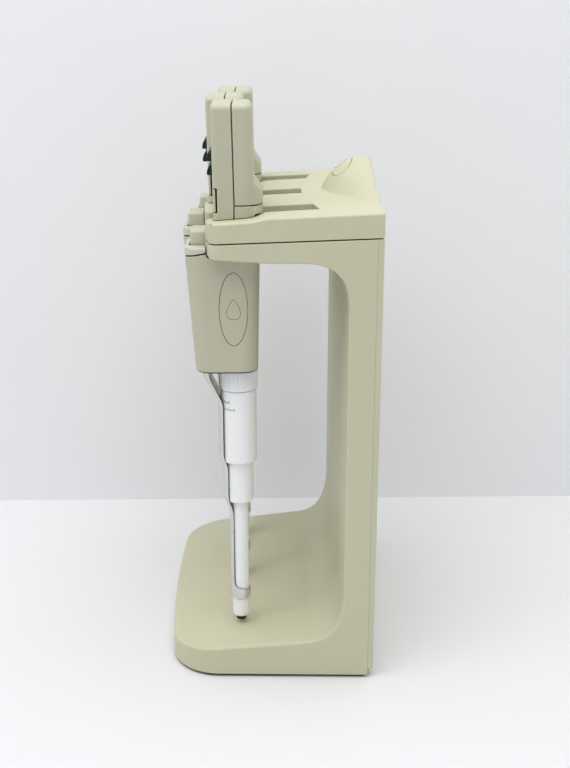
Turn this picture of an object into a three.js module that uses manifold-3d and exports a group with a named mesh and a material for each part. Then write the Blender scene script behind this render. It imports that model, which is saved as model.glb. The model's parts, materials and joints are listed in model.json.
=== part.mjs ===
// A set of three electronic pipettes hanging by their necks in a charging stand.
// Millimetres, +Z up, the front of the set towards -Y. The origin is the middle of the
// set's footprint, on the bench.
import * as THREE from "three";
import { mergeVertices } from "three/addons/utils/BufferGeometryUtils.js";
import Module from "manifold-3d";

const wasm = await Module();
wasm.setup();

// ---------------------------------------------------------------- driving dimensions
const GAP = 0.35; // clearance between neighbouring pieces
const WALL = 3; // moulded wall of the stand
const SKIN = 2; // moulded wall of a pipette

const STAND = {
  depth: 108,
  rearHalfWidth: 82.9,
  sideTaper: 0.033, // the sides close in by this much for each millimetre forward
  footHeight: 1.5,
  baseTopRear: 24,
  baseSlope: 0.0956,
  baseCornerRadius: 25,
  baseFrontBow: 2,
  columnThickness: 16,
  undersideHeight: 221.3,
  undersideRise: 2.4, // the underside of the arms climbs by this much towards the tips
  seamRear: 233.1,
  seamSlope: 0.04,
  deckRear: 245,
  deckSlope: 0.056,
  panelThickness: 2.6,
};
const REAR = STAND.depth / 2;
const COLUMN_FACE = REAR - STAND.columnThickness;

const SLOT = {
  pitch: 54,
  halfWidth: 9,
  middleEnd: 18,
  outerEndInner: 22, // the rear ends of the two outer slots are slanted
  outerEndOuter: 25,
  cornerRadius: 4,
};
const PIN = { radius: 1.2, beside: 14.5, behind: 6 };
const FINGER_TIP = { middle: -32.4, bow: 0.0007 };

const SWELL = { halfWidth: 62, depth: 25, height: 16.8 };
const SWELL_SINK = -0.3; // the rim of the swell starts just under the deck
const BADGE = { halfWidth: 11, halfLength: 6, forward: 14.8, depth: 0.8 };
const FOOT = { radius: 7, beside: 62, behindFront: 22, beforeRear: 16 };
const JACK = { halfWidth: 7.5, bottom: 26.5, top: 37.5, depth: 8, socketRadius: 3 };
const BOARD = { halfWidth: 70, thickness: 1.6, beforeRear: 8 };

// Heights on a pipette are measured from the end of its nose, and y from the nose's axis.
const NOSE = {
  stubRadius: 2.8,
  tipStart: 2.8,
  tipRadius: 4.3,
  lowRadius: 4.45,
  lowTop: 70.6,
  middleRadius: 7.2,
  middleTop: 92.7,
  highRadius: 9.2,
  highTop: 131.8,
  spigotRadius: 8.3,
  spigotTop: 148,
  boreRadius: 1.2,
};
const NUT = { bottom: 132.4, top: 143.5, radius: 10.2, bore: 8.7 };
const HANDLE = {
  bottom: 144,
  shoulder: 199.5, // top under the fingers
  top: 202.7, // top in front of the fingers
  shoulderFront: -16.5,
  frontAtBottom: -20.9,
  frontAtTop: -24.6,
  rearAtBottom: 10.2,
  rearAtTop: 11.5,
  halfWidthBottom: 15.5,
  halfWidthTop: 16.4,
  frontRadius: 7.5,
  rearRadius: 8,
};
const TRIM = { bottom: 203.05, top: 206.8, front: -24.6, halfWidth: 16.2, frontRadius: 6.4 };
const BUTTON = { bottom: 204.5, top: 213.7, front: -22.1, rear: -13.2, halfWidth: 8 };
const ARM = {
  front: -17.7, // its inner face where it runs down inside the handle
  thickness: 0.8,
  halfWidth: 5,
  clearance: 0.4,
  ringBottom: 14.3,
  ringTop: 20.2,
  ringRadius: 5.5,
};
const SPRING = { bottom: 159.6, top: 178, radius: 2.6, wire: 0.8, y: -12.7, turns: 5 };
const HEAD = {
  seatGap: 0.5, // the head hangs just above the deck
  top: 273.2,
  halfWidth: 18,
  front: -11.7,
  rear: 8.6,
  cornerRadius: 3.5,
  split: -0.7, // where the front and rear shells meet
  bulgeRear: 12.7,
  bulgeRadius: 10,
  bulgeTop: 243,
  packTop: 226.6,
};
const NECK = { bottom: 190, halfWidth: 8.2, front: -10.4, rear: 8.4 };
const TRIGGER = { bottom: 223.6, top: 234.6, rear: -9.7, press: 1 };
const KEY = { pitch: 6.4, height: 5.7, lowest: 240.5, halfWidth: 13, proud: 1.4, rear: -9 };
const DISPLAY = { bottom: 255.5, top: 269, halfWidth: 13.5 };
const PISTON = { radius: 5.6, bottom: 73, top: 82, screwRadius: 2, screwTop: 178 };
const MOTOR = { bore: 2.5, radius: 7.6, bottom: 150, top: 172 };
const HANG_HEIGHT = 20; // the end of a hanging pipette's nose stands this far off the bench
const NOSE_Y = -15.3;

// Where each pipette hangs: sideways, how far forward and how far it leans to the front.
const PLACES = [
  { side: "right", x: SLOT.pitch, forward: 0, lean: 0 },
  { side: "centre", x: 0, forward: 0.4, lean: 1.1 },
  { side: "left", x: -SLOT.pitch, forward: 1, lean: 0 },
];

// ---------------------------------------------------------------- materials
function plastic(color, roughness) {
  return new THREE.MeshStandardMaterial({ color, roughness, metalness: 0 });
}
const CREAM = plastic(0xd3d1b6, 0.55);
const GREY_CREAM = plastic(0xc9c9b4, 0.5);
const WHITE = plastic(0xf1f1ee, 0.35);
const KEY_GREEN = plastic(0x0f4a36, 0.4);
const RUBBER = plastic(0x2b2c29, 0.9);
const BOARD_GREEN = plastic(0x2c6640, 0.6);
const WINDOW = plastic(0x59635a, 0.15);
const BLACK = plastic(0x1b1c1b, 0.5);
const STEEL = new THREE.MeshStandardMaterial({ color: 0xb9bbba, roughness: 0.25, metalness: 1 });

// ---------------------------------------------------------------- solids and booleans
function solid(geometry) {
  const bare = geometry.clone();
  bare.deleteAttribute("normal");
  bare.deleteAttribute("uv");
  const merged = mergeVertices(bare, 1e-4);
  return new wasm.Manifold(
    new wasm.Mesh({
      numProp: 3,
      vertProperties: new Float32Array(merged.attributes.position.array),
      triVerts: new Uint32Array(merged.index.array),
    }),
  );
}

function join(...parts) {
  return parts.reduce((sum, part) => sum.add(part));
}

function cut(body, ...tools) {
  return tools.reduce((rest, tool) => rest.subtract(tool), body);
}

function meshOf(name, body, material) {
  const data = body.getMesh();
  const geometry = new THREE.BufferGeometry();
  geometry.setAttribute("position", new THREE.BufferAttribute(data.vertProperties, 3));
  geometry.setIndex(new THREE.BufferAttribute(data.triVerts, 1));
  geometry.computeVertexNormals();
  const mesh = new THREE.Mesh(geometry, material);
  mesh.name = name;
  return mesh;
}

// A box given by its lowest and highest corners.
function block(x0, x1, y0, y1, z0, z1) {
  const geometry = new THREE.BoxGeometry(x1 - x0, y1 - y0, z1 - z0);
  geometry.translate((x0 + x1) / 2, (y0 + y1) / 2, (z0 + z1) / 2);
  return solid(geometry);
}

// A plan outline, seen from above, pulled up from z0 to z1.
function column(shape, z0, z1) {
  const geometry = new THREE.ExtrudeGeometry(shape, {
    depth: z1 - z0,
    bevelEnabled: false,
    curveSegments: 6,
  });
  geometry.translate(0, 0, z0);
  return solid(geometry);
}

// A side outline, drawn in (y, z), carried sideways from x0 to x1.
function sideways(shape, x0, x1) {
  const geometry = new THREE.ExtrudeGeometry(shape, {
    depth: x1 - x0,
    bevelEnabled: false,
    curveSegments: 8,
  });
  const turn = new THREE.Matrix4().makeBasis(
    new THREE.Vector3(0, 1, 0),
    new THREE.Vector3(0, 0, 1),
    new THREE.Vector3(1, 0, 0),
  );
  geometry.applyMatrix4(turn);
  geometry.translate(x0, 0, 0);
  return solid(geometry);
}

// A closed profile of [radius, height] points turned round the vertical axis.
function turned(profile, segments = 24) {
  const points = profile.map(([radius, height]) => new THREE.Vector2(radius, height));
  return solid(new THREE.LatheGeometry(points, segments).rotateX(Math.PI / 2));
}

function ringProfile(inner, outer, z0, z1) {
  return [
    [inner, z0],
    [outer, z0],
    [outer, z1],
    [inner, z1],
    [inner, z0],
  ];
}

function rod(radius, z0, z1, x = 0, y = 0) {
  const profile = [
    [0, z0],
    [radius, z0],
    [radius, z1],
    [0, z1],
  ];
  return turned(profile, 20).translate([x, y, 0]);
}

// The points of a rectangle with rounded corners: front radius and rear radius differ.
function sectionPoints({ y0, y1, halfWidth, frontRadius, rearRadius }, steps = 3) {
  const corners = [
    [halfWidth - rearRadius, y1 - rearRadius, rearRadius, 0],
    [-halfWidth + rearRadius, y1 - rearRadius, rearRadius, 1],
    [-halfWidth + frontRadius, y0 + frontRadius, frontRadius, 2],
    [halfWidth - frontRadius, y0 + frontRadius, frontRadius, 3],
  ];
  return corners.flatMap(([cx, cy, radius, quarter]) =>
    Array.from({ length: steps + 1 }, (_, i) => {
      const angle = ((quarter + i / steps) * Math.PI) / 2;
      return [cx + radius * Math.cos(angle), cy + radius * Math.sin(angle)];
    }),
  );
}

// A closed skin over rounded rectangles stacked at rising heights.
function loft(sections) {
  const rings = sections.map((section) =>
    sectionPoints(section).map(([x, y]) => [x, y, section.z + (section.slope ?? 0) * y]),
  );
  const count = rings[0].length;
  const positions = rings.flat(2);
  const faces = [];
  for (let level = 0; level < rings.length - 1; level++) {
    for (let i = 0; i < count; i++) {
      const a = level * count + i;
      const b = level * count + ((i + 1) % count);
      faces.push(a, b, b + count, a, b + count, a + count);
    }
  }
  const top = (rings.length - 1) * count;
  for (let i = 1; i < count - 1; i++) {
    faces.push(0, i + 1, i);
    faces.push(top, top + i, top + i + 1);
  }
  const geometry = new THREE.BufferGeometry();
  geometry.setAttribute("position", new THREE.Float32BufferAttribute(positions, 3));
  geometry.setIndex(faces);
  return solid(geometry);
}

// ---------------------------------------------------------------- the stand
function halfWidthAt(y) {
  return STAND.rearHalfWidth - STAND.sideTaper * (REAR - y);
}

function baseTopAt(y) {
  return STAND.baseTopRear - STAND.baseSlope * (REAR - y);
}

function deckAt(y) {
  return STAND.deckRear - STAND.deckSlope * (REAR - y);
}

function seamAt(y) {
  return STAND.seamRear - STAND.seamSlope * (REAR - y);
}

function fingerTipAt(x) {
  return FINGER_TIP.middle + FINGER_TIP.bow * x * x;
}

// The base seen from above, drawn in by inset.
function basePlan(inset, rear) {
  const front = -REAR + inset;
  const radius = STAND.baseCornerRadius - inset;
  const side = halfWidthAt(-REAR) - inset;
  const shoulder = front + STAND.baseFrontBow;
  const shape = new THREE.Shape();
  shape.moveTo(halfWidthAt(rear) - inset, rear);
  shape.lineTo(-halfWidthAt(rear) + inset, rear);
  shape.lineTo(-side, shoulder + radius);
  shape.quadraticCurveTo(-side, shoulder, -side + radius, shoulder);
  shape.quadraticCurveTo(0, front - STAND.baseFrontBow, side - radius, shoulder);
  shape.quadraticCurveTo(side, shoulder, side, shoulder + radius);
  return shape;
}

// The deck seen from above, with its three open slots, drawn in by inset.
function deckPlan(inset, rear) {
  const r = SLOT.cornerRadius;
  const shape = new THREE.Shape();
  const half = SLOT.halfWidth + inset;
  const side = halfWidthAt(FINGER_TIP.middle) - inset;
  const outerTip = fingerTipAt(side) + inset;
  shape.moveTo(halfWidthAt(rear) - inset, rear);
  shape.lineTo(-halfWidthAt(rear) + inset, rear);
  shape.lineTo(-side, outerTip + r);
  shape.quadraticCurveTo(-side, outerTip, -side + r, outerTip);
  const slots = [
    { centre: -SLOT.pitch, leftEnd: SLOT.outerEndOuter, rightEnd: SLOT.outerEndInner },
    { centre: 0, leftEnd: SLOT.middleEnd, rightEnd: SLOT.middleEnd },
    { centre: SLOT.pitch, leftEnd: SLOT.outerEndInner, rightEnd: SLOT.outerEndOuter },
  ];
  for (const { centre, leftEnd, rightEnd } of slots) {
    const left = centre - half;
    const right = centre + half;
    const leftTip = fingerTipAt(left) + inset;
    const rightTip = fingerTipAt(right) + inset;
    shape.lineTo(left - r, leftTip);
    shape.quadraticCurveTo(left, leftTip, left, leftTip + r);
    shape.lineTo(left, leftEnd + inset);
    shape.lineTo(right, rightEnd + inset);
    shape.lineTo(right, rightTip + r);
    shape.quadraticCurveTo(right, rightTip, right + r, rightTip);
  }
  shape.lineTo(side - r, outerTip);
  shape.quadraticCurveTo(side, outerTip, side, outerTip + r);
  return shape;
}

// The stand seen from the side, as one C: base, column and arm. A positive inset gives
// the hollow, which runs out through the rear, the bottom and the top.
function cProfile(inset) {
  const open = inset > 0;
  const rear = open ? REAR + 20 : REAR - STAND.panelThickness - GAP;
  const bottom = open ? -20 : STAND.footHeight;
  const front = -REAR - 5;
  const face = COLUMN_FACE + inset;
  const lowCurve = 18;
  const highCurve = 21;
  const under = STAND.undersideHeight + inset;
  const tip = fingerTipAt(0) - 5;
  const shape = new THREE.Shape();
  shape.moveTo(rear, bottom);
  shape.lineTo(rear, open ? seamAt(REAR) + 20 : seamAt(rear));
  shape.lineTo(tip, open ? seamAt(tip) + 20 : seamAt(tip));
  shape.lineTo(tip, under + STAND.undersideRise);
  shape.lineTo(0, under);
  shape.lineTo(COLUMN_FACE - highCurve, under);
  shape.quadraticCurveTo(face, under, face, under - highCurve);
  shape.lineTo(face, baseTopAt(face) - inset + 1.6 * lowCurve);
  shape.quadraticCurveTo(
    face,
    baseTopAt(face) - inset,
    COLUMN_FACE - lowCurve,
    baseTopAt(COLUMN_FACE - lowCurve) - inset,
  );
  shape.lineTo(front, baseTopAt(front) - inset);
  shape.lineTo(front, bottom);
  return shape;
}

function cSolid(inset) {
  const middle = 120;
  const wide = 2 * STAND.rearHalfWidth;
  const profile = sideways(cProfile(inset), -wide, wide);
  const low = column(basePlan(inset, REAR + 1), -30, middle);
  const high = column(deckPlan(inset, REAR + 1), middle, 300);
  return profile.intersect(join(low, high));
}

function standBody() {
  return cut(cSolid(0), cSolid(WALL));
}

function swellHeight(x, forward) {
  const share = Math.min(1, forward / SWELL.depth);
  const width = SWELL.halfWidth * Math.pow(1 - share, 0.8);
  if (Math.abs(x) >= width) return 0;
  const crest = SWELL.height * Math.sqrt(1 - share * share);
  return crest * Math.cos((Math.PI * x) / (2 * width)) ** 2;
}

// The rounded swell at the middle of the deck's rear edge, as a grid over a flat floor.
function swell(lift) {
  const across = 16;
  const along = 7;
  const floor = deckAt(REAR) - 6;
  const tops = [];
  const floors = [];
  for (let j = 0; j <= along; j++) {
    const forward = (SWELL.depth * j) / along;
    const y = REAR - forward;
    const width = SWELL.halfWidth * Math.pow(Math.max(0.02, 1 - j / along), 0.8);
    for (let i = 0; i <= across; i++) {
      const x = width * ((2 * i) / across - 1);
      tops.push([x, y, deckAt(y) + lift + swellHeight(x, forward)]);
      floors.push([x, y, floor]);
    }
  }
  const row = across + 1;
  const under = tops.length;
  const faces = [];
  const quad = (a, b, c, d) => faces.push(a, b, c, a, c, d);
  for (let j = 0; j < along; j++) {
    for (let i = 0; i < across; i++) {
      const a = j * row + i;
      quad(a + 1, a, a + row, a + row + 1);
      quad(under + a, under + a + 1, under + a + row + 1, under + a + row);
    }
    const left = j * row;
    const right = left + across;
    quad(left, under + left, under + left + row, left + row);
    quad(under + right, right, right + row, under + right + row);
  }
  for (let i = 0; i < across; i++) {
    const far = along * row + i;
    quad(i, i + 1, under + i + 1, under + i);
    quad(far + 1, far, under + far, under + far + 1);
  }
  const geometry = new THREE.BufferGeometry();
  geometry.setAttribute(
    "position",
    new THREE.Float32BufferAttribute([...tops, ...floors].flat(), 3),
  );
  geometry.setIndex(faces);
  return solid(geometry);
}

// The space between the seam (or a level under it) and a level under the deck.
function deckLayer(lift, drop, rear) {
  const front = fingerTipAt(0) - 5;
  const shape = new THREE.Shape();
  shape.moveTo(rear, seamAt(rear) + lift);
  shape.lineTo(rear, deckAt(rear) - drop);
  shape.lineTo(front, deckAt(front) - drop);
  shape.lineTo(front, seamAt(front) + lift);
  return sideways(shape, -90, 90);
}

function topCover() {
  const outer = deckLayer(GAP, 0, REAR).intersect(column(deckPlan(0, REAR), 200, 300));
  const inner = deckLayer(-10, SKIN + 0.8, REAR - WALL).intersect(
    column(deckPlan(WALL, REAR - WALL), 200, 300),
  );
  return cut(join(outer, swell(SWELL_SINK)), inner, badgeSeat(), ...PLACES.map(pinHole));
}

// A charging pin stands beside each slot, under the battery pack of the pipette there.
function pinPlace(place) {
  return { x: place.x + PIN.beside, y: NOSE_Y - place.forward + PIN.behind };
}

function pinHole(place) {
  const { x, y } = pinPlace(place);
  return rod(PIN.radius + GAP, deckAt(y) - 6, deckAt(y) + 5, x, y);
}

// The oval badge is let into the front slope of the swell and follows its surface.
function badgeColumn(clearance) {
  return rod(1, 230, 280)
    .scale([BADGE.halfWidth + clearance, BADGE.halfLength + clearance, 1])
    .translate([0, REAR - BADGE.forward, 0]);
}

function badgeSeat() {
  return cut(badgeColumn(GAP), swell(SWELL_SINK - BADGE.depth - GAP));
}

function badge() {
  return cut(swell(SWELL_SINK).intersect(badgeColumn(0)), swell(SWELL_SINK - BADGE.depth));
}

function rearPanel() {
  const side = halfWidthAt(REAR);
  const inner = REAR - STAND.panelThickness;
  const plate = block(-side, side, inner, REAR, STAND.footHeight, seamAt(REAR));
  const wide = JACK.halfWidth + GAP;
  const jackHole = block(-wide, wide, inner - 1, REAR + 1, JACK.bottom - GAP, JACK.top + GAP);
  return cut(plate, jackHole);
}

function powerJack() {
  const front = REAR - STAND.panelThickness - JACK.depth;
  const wide = JACK.halfWidth;
  const body = block(-wide, wide, front, REAR - GAP, JACK.bottom, JACK.top);
  const hole = new THREE.CylinderGeometry(JACK.socketRadius, JACK.socketRadius, JACK.depth, 16);
  const socket = solid(hole).translate([0, REAR, (JACK.bottom + JACK.top) / 2]);
  return cut(body, socket);
}

function basePlate() {
  const plan = basePlan(WALL + GAP, REAR - STAND.panelThickness - SKIN);
  return column(plan, STAND.footHeight, STAND.footHeight + SKIN);
}

function foot(x, y) {
  return rod(FOOT.radius, 0, STAND.footHeight - 0.05, x, y);
}

function chargerBoard() {
  const front = SLOT.outerEndOuter + WALL + 1.5;
  const top = seamAt(front) - 1;
  const bottom = top - BOARD.thickness;
  const board = block(-BOARD.halfWidth, BOARD.halfWidth, front, REAR - BOARD.beforeRear, bottom, top);
  const pins = PLACES.map((place) => {
    const { x, y } = pinPlace(place);
    const strip = block(x - 1, x + 1, y - 2, front + 1, bottom, top);
    return join(strip, rod(PIN.radius, bottom, deckAt(y) - 0.4, x, y));
  });
  return join(board, ...pins);
}

function makeStand() {
  const group = new THREE.Group();
  group.add(meshOf("stand_body", standBody(), CREAM));
  group.add(meshOf("top_cover", topCover(), CREAM));
  group.add(meshOf("rear_panel", rearPanel(), CREAM));
  group.add(meshOf("base_plate", basePlate(), CREAM));
  for (const [row, y] of [
    ["front", -REAR + FOOT.behindFront],
    ["rear", REAR - FOOT.beforeRear],
  ]) {
    for (const [side, x] of [
      ["left", -FOOT.beside],
      ["right", FOOT.beside],
    ]) {
      group.add(meshOf(`foot_${row}_${side}`, foot(x, y), RUBBER));
    }
  }
  group.add(meshOf("charger_board", chargerBoard(), BOARD_GREEN));
  group.add(meshOf("power_jack", powerJack(), BLACK));
  group.add(meshOf("badge", badge(), GREY_CREAM));
  return group;
}

// ---------------------------------------------------------------- one pipette
function handleSection(z, inset) {
  const share = (z - HANDLE.bottom) / (HANDLE.top - HANDLE.bottom);
  const mix = (low, high) => low + (high - low) * share;
  return {
    z,
    y0: mix(HANDLE.frontAtBottom, HANDLE.frontAtTop) + inset,
    y1: mix(HANDLE.rearAtBottom, HANDLE.rearAtTop) - inset,
    halfWidth: mix(HANDLE.halfWidthBottom, HANDLE.halfWidthTop) - inset,
    frontRadius: HANDLE.frontRadius - inset,
    rearRadius: HANDLE.rearRadius - inset,
  };
}

function handleShell() {
  const outer = loft([
    handleSection(HANDLE.bottom, 0.9),
    handleSection(HANDLE.bottom + 1.2, 0),
    handleSection(HANDLE.top, 0),
  ]);
  const hollow = loft([
    handleSection(HANDLE.bottom + SKIN, SKIN),
    handleSection(HANDLE.shoulder - SKIN, SKIN),
  ]);
  const step = block(-20, 20, HANDLE.shoulderFront, 20, HANDLE.shoulder, HANDLE.top + 1);
  const neckHole = block(
    -NECK.halfWidth - GAP,
    NECK.halfWidth + GAP,
    NECK.front - GAP,
    NECK.rear + GAP,
    HANDLE.shoulder - 3,
    HANDLE.top + 2,
  );
  const buttonWell = block(
    -BUTTON.halfWidth - GAP,
    BUTTON.halfWidth + GAP,
    BUTTON.front - GAP,
    BUTTON.rear + GAP,
    HANDLE.shoulder - 3,
    HANDLE.top + 2,
  );
  const noseHole = rod(NOSE.spigotRadius + GAP, HANDLE.bottom - 1, HANDLE.bottom + 3);
  const armSlot = block(
    -ARM.halfWidth - 1,
    ARM.halfWidth + 1,
    ARM.front - ARM.thickness - 1.5,
    ARM.front + 1.5,
    HANDLE.bottom - 1,
    HANDLE.bottom + 3,
  );
  const springLedge = block(
    -ARM.halfWidth,
    HANDLE.halfWidthBottom - SKIN / 2,
    SPRING.y - SPRING.radius,
    SPRING.y + SPRING.radius + 1,
    SPRING.bottom - 2.6,
    SPRING.bottom - 0.1,
  );
  return join(cut(outer, hollow, step, neckHole, buttonWell, noseHole, armSlot), springLedge);
}

function shoulderTrim() {
  const section = (z, inset) => ({
    z,
    y0: TRIM.front + inset,
    y1: HANDLE.shoulderFront,
    halfWidth: TRIM.halfWidth - inset,
    frontRadius: TRIM.frontRadius - inset,
    rearRadius: 1,
  });
  const band = loft([
    section(TRIM.bottom, 0),
    section(TRIM.top - 0.8, 0),
    section(TRIM.top, 0.6),
  ]);
  const well = block(
    -BUTTON.halfWidth - GAP,
    BUTTON.halfWidth + GAP,
    BUTTON.front - GAP,
    BUTTON.rear,
    TRIM.bottom - 1,
    TRIM.top + 1,
  );
  return cut(band, well);
}

// The button slides down inside the trim and the handle.
function ejectorButton() {
  const section = (z, inset) => ({
    z,
    y0: BUTTON.front + inset,
    y1: BUTTON.rear - inset,
    halfWidth: BUTTON.halfWidth - inset,
    frontRadius: 2.2 - 0.5 * inset,
    rearRadius: 1,
  });
  return loft([
    section(BUTTON.bottom, 0),
    section(BUTTON.top - 1.5, 0),
    section(BUTTON.top - 0.4, 0.5),
    section(BUTTON.top, 1.6),
  ]);
}

// The steel strip follows the steps of the nose and ends in a ring round its lower tube.
function ejectorArm() {
  const high = NOSE.highRadius + 0.7;
  const middle = NOSE.middleRadius + 0.5;
  const low = NOSE.lowRadius + ARM.clearance;
  const inner = [
    [ARM.front, BUTTON.bottom - GAP],
    [ARM.front, NOSE.highTop + 7.8],
    [-high, NOSE.highTop - 6.2],
    [-high, NOSE.middleTop + 3.5],
    [-middle, NOSE.middleTop - 2],
    [-middle, NOSE.lowTop + 2],
    [-low, NOSE.lowTop - 6],
    [-low, ARM.ringTop - 2],
  ];
  const strip = new THREE.Shape();
  strip.moveTo(...inner[0]);
  inner.slice(1).forEach(([y, z]) => strip.lineTo(y, z));
  inner.reverse().forEach(([y, z]) => strip.lineTo(y - ARM.thickness, z));
  const ribbon = sideways(strip, -ARM.halfWidth, ARM.halfWidth);
  const ring = turned(ringProfile(low, ARM.ringRadius, ARM.ringBottom, ARM.ringTop));
  const bore = rod(low, ARM.ringBottom - 1, NOSE.lowTop - 8);
  const springTab = block(
    -SPRING.radius,
    SPRING.radius,
    ARM.front - ARM.thickness / 2,
    SPRING.y + SPRING.radius,
    SPRING.top + 0.3,
    SPRING.top + 1.3,
  );
  return join(cut(ribbon, bore), ring, springTab);
}

class Helix extends THREE.Curve {
  getPoint(t) {
    const angle = 2 * Math.PI * SPRING.turns * t;
    const height = SPRING.bottom + SPRING.wire + t * (SPRING.top - SPRING.bottom - 2 * SPRING.wire);
    return new THREE.Vector3(
      SPRING.radius * Math.cos(angle),
      SPRING.y + SPRING.radius * Math.sin(angle),
      height,
    );
  }
}

function ejectorSpring() {
  const half = SPRING.wire / 2;
  const wire = new THREE.Shape([
    new THREE.Vector2(-half, -half),
    new THREE.Vector2(half, -half),
    new THREE.Vector2(half, half),
    new THREE.Vector2(-half, half),
  ]);
  const steps = 8 * SPRING.turns;
  return solid(new THREE.ExtrudeGeometry(wire, { steps, extrudePath: new Helix() }));
}

function headSection(z, inset, rear = HEAD.rear, rearRadius = HEAD.cornerRadius, slope = 0) {
  return {
    z,
    slope,
    y0: HEAD.front + inset,
    y1: rear - inset,
    halfWidth: HEAD.halfWidth - inset,
    frontRadius: Math.max(HEAD.cornerRadius - inset, 0.8),
    rearRadius: Math.max(rearRadius - inset, 0.8),
  };
}

// The whole head, before it is split into shells. Its underside follows the deck.
function headBody(inset) {
  const bottom = deckAt(NOSE_Y) - HANG_HEIGHT + HEAD.seatGap + inset;
  const bulge = HEAD.bulgeRear;
  const radius = HEAD.bulgeRadius;
  return loft([
    headSection(bottom, inset, bulge, radius, STAND.deckSlope),
    headSection(HEAD.packTop + 3.5, inset, bulge, radius),
    headSection(HEAD.packTop + 7, inset, bulge - 0.7, radius - 1),
    headSection(HEAD.packTop + 11, inset, HEAD.rear + 1.4, radius - 4),
    headSection(HEAD.bulgeTop, inset),
    headSection(HEAD.top - inset - 2.8, inset),
    headSection(HEAD.top - inset - 0.8, inset + 0.9),
    headSection(HEAD.top - inset, inset + 2.6),
  ]);
}

function beyond(y0, y1, z0 = 100, z1 = 300) {
  return block(-40, 40, y0, y1, z0, z1);
}

function headFrontShell() {
  const front = headBody(0).intersect(beyond(-40, HEAD.split - GAP / 2));
  const shell = cut(front, headBody(SKIN));
  const bottom = deckAt(NOSE_Y) - HANG_HEIGHT + 2;
  const neck = block(
    -NECK.halfWidth,
    NECK.halfWidth,
    NECK.front,
    NECK.rear,
    NECK.bottom,
    bottom,
  );
  const throat = block(
    -NECK.halfWidth + SKIN,
    NECK.halfWidth - SKIN,
    NECK.front + SKIN,
    NECK.rear - SKIN,
    NECK.bottom - 1,
    bottom + 3,
  );
  const rearOfNeck = beyond(HEAD.split - GAP / 2, 40, bottom - 1.5);
  const inside = block(-16.5, 16.5, -8.4, -7, TRIGGER.bottom - 0.6, TRIGGER.top + 0.6);
  const notch = beyond(
    -40,
    TRIGGER.rear + TRIGGER.press + 0.2,
    TRIGGER.bottom - GAP,
    TRIGGER.top + GAP,
  );
  const keyHoles = [0, 1].map((row) => {
    const z = KEY.lowest + row * KEY.pitch;
    return block(-KEY.halfWidth - GAP, KEY.halfWidth + GAP, -20, -8, z - 0.3, z + KEY.height + 0.3);
  });
  const window = block(
    -DISPLAY.halfWidth - GAP,
    DISPLAY.halfWidth + GAP,
    -20,
    -8,
    DISPLAY.bottom - GAP,
    DISPLAY.top + GAP,
  );
  const hollowed = cut(shell, notch, window, ...keyHoles);
  return cut(join(hollowed, inside, cut(neck, rearOfNeck)), throat);
}

function headRearShell() {
  const zone = beyond(HEAD.split + GAP / 2, 40, HEAD.packTop + GAP);
  return cut(headBody(0).intersect(zone), headBody(SKIN));
}

function batteryPack() {
  const zone = beyond(HEAD.split + GAP / 2, 40, 200, HEAD.packTop);
  const base = headBody(0).intersect(zone);
  const clearance = block(-NECK.halfWidth - GAP, NECK.halfWidth + GAP, -5, NECK.rear + GAP, 200, 224);
  const cell = block(-13, 13, HEAD.split + 1, 6, HEAD.packTop - 1, 258);
  return join(cut(base, clearance), cell);
}

// A U-shaped key that wraps round the lower front corners of the head.
function triggerKey() {
  const zone = beyond(-40, TRIGGER.rear, TRIGGER.bottom, TRIGGER.top);
  const behind = block(-HEAD.halfWidth + SKIN, HEAD.halfWidth - SKIN, -9.9, 0, 200, 250);
  return cut(headBody(0).intersect(zone), behind);
}

// A wedge-shaped key, thin at the top and proud of the head at the bottom.
function wedgeKey(row) {
  const z = KEY.lowest + row * KEY.pitch;
  const shape = new THREE.Shape();
  shape.moveTo(KEY.rear, z);
  shape.lineTo(KEY.rear, z + KEY.height);
  shape.lineTo(HEAD.front, z + KEY.height);
  shape.quadraticCurveTo(HEAD.front - KEY.proud, z + 3, HEAD.front - KEY.proud, z + 0.6);
  shape.lineTo(HEAD.front - KEY.proud + 0.6, z);
  return sideways(shape, -KEY.halfWidth, KEY.halfWidth);
}

// The display module: a window in the front shell, on a carrier with its circuit board.
function displayBoard() {
  const window = block(
    -DISPLAY.halfWidth,
    DISPLAY.halfWidth,
    HEAD.front + 0.3,
    HEAD.front + 2,
    DISPLAY.bottom,
    DISPLAY.top,
  );
  const carrier = block(-12, 12, HEAD.front + 1.9, -5.6, DISPLAY.bottom + 1, DISPLAY.top - 1);
  const board = block(-15, 15, -5.7, -4.2, 237, 270);
  return join(window, carrier, board);
}

function noseNut() {
  return turned([
    [NUT.bore, NUT.bottom],
    [NUT.radius - 0.5, NUT.bottom],
    [NUT.radius, NUT.top - 1],
    [NUT.radius - 0.4, NUT.top],
    [NUT.bore, NUT.top],
    [NUT.bore, NUT.bottom],
  ]);
}

// The nose is one turned moulding: the piston's cylinder above, a fine bore below.
function noseBarrel() {
  const cylinderRadius = PISTON.radius + 0.4;
  return turned([
    [NOSE.boreRadius, 0],
    [NOSE.stubRadius, 0],
    [NOSE.stubRadius, NOSE.tipStart],
    [NOSE.tipRadius - 0.8, NOSE.tipStart],
    [NOSE.tipRadius, NOSE.tipStart + 1],
    [NOSE.lowRadius, NOSE.lowTop],
    [NOSE.middleRadius - 1, NOSE.lowTop],
    [NOSE.middleRadius, NOSE.lowTop + 1.5],
    [NOSE.middleRadius, NOSE.middleTop],
    [NOSE.highRadius - 1, NOSE.middleTop + 0.4],
    [NOSE.highRadius, NOSE.middleTop + 2],
    [NOSE.highRadius, NOSE.highTop],
    [NOSE.spigotRadius, NOSE.highTop],
    [NOSE.spigotRadius, NOSE.spigotTop],
    [cylinderRadius, NOSE.spigotTop],
    [cylinderRadius, PISTON.bottom - 1],
    [NOSE.boreRadius, NOSE.lowTop - 2],
    [NOSE.boreRadius, 0],
  ]);
}

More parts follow.
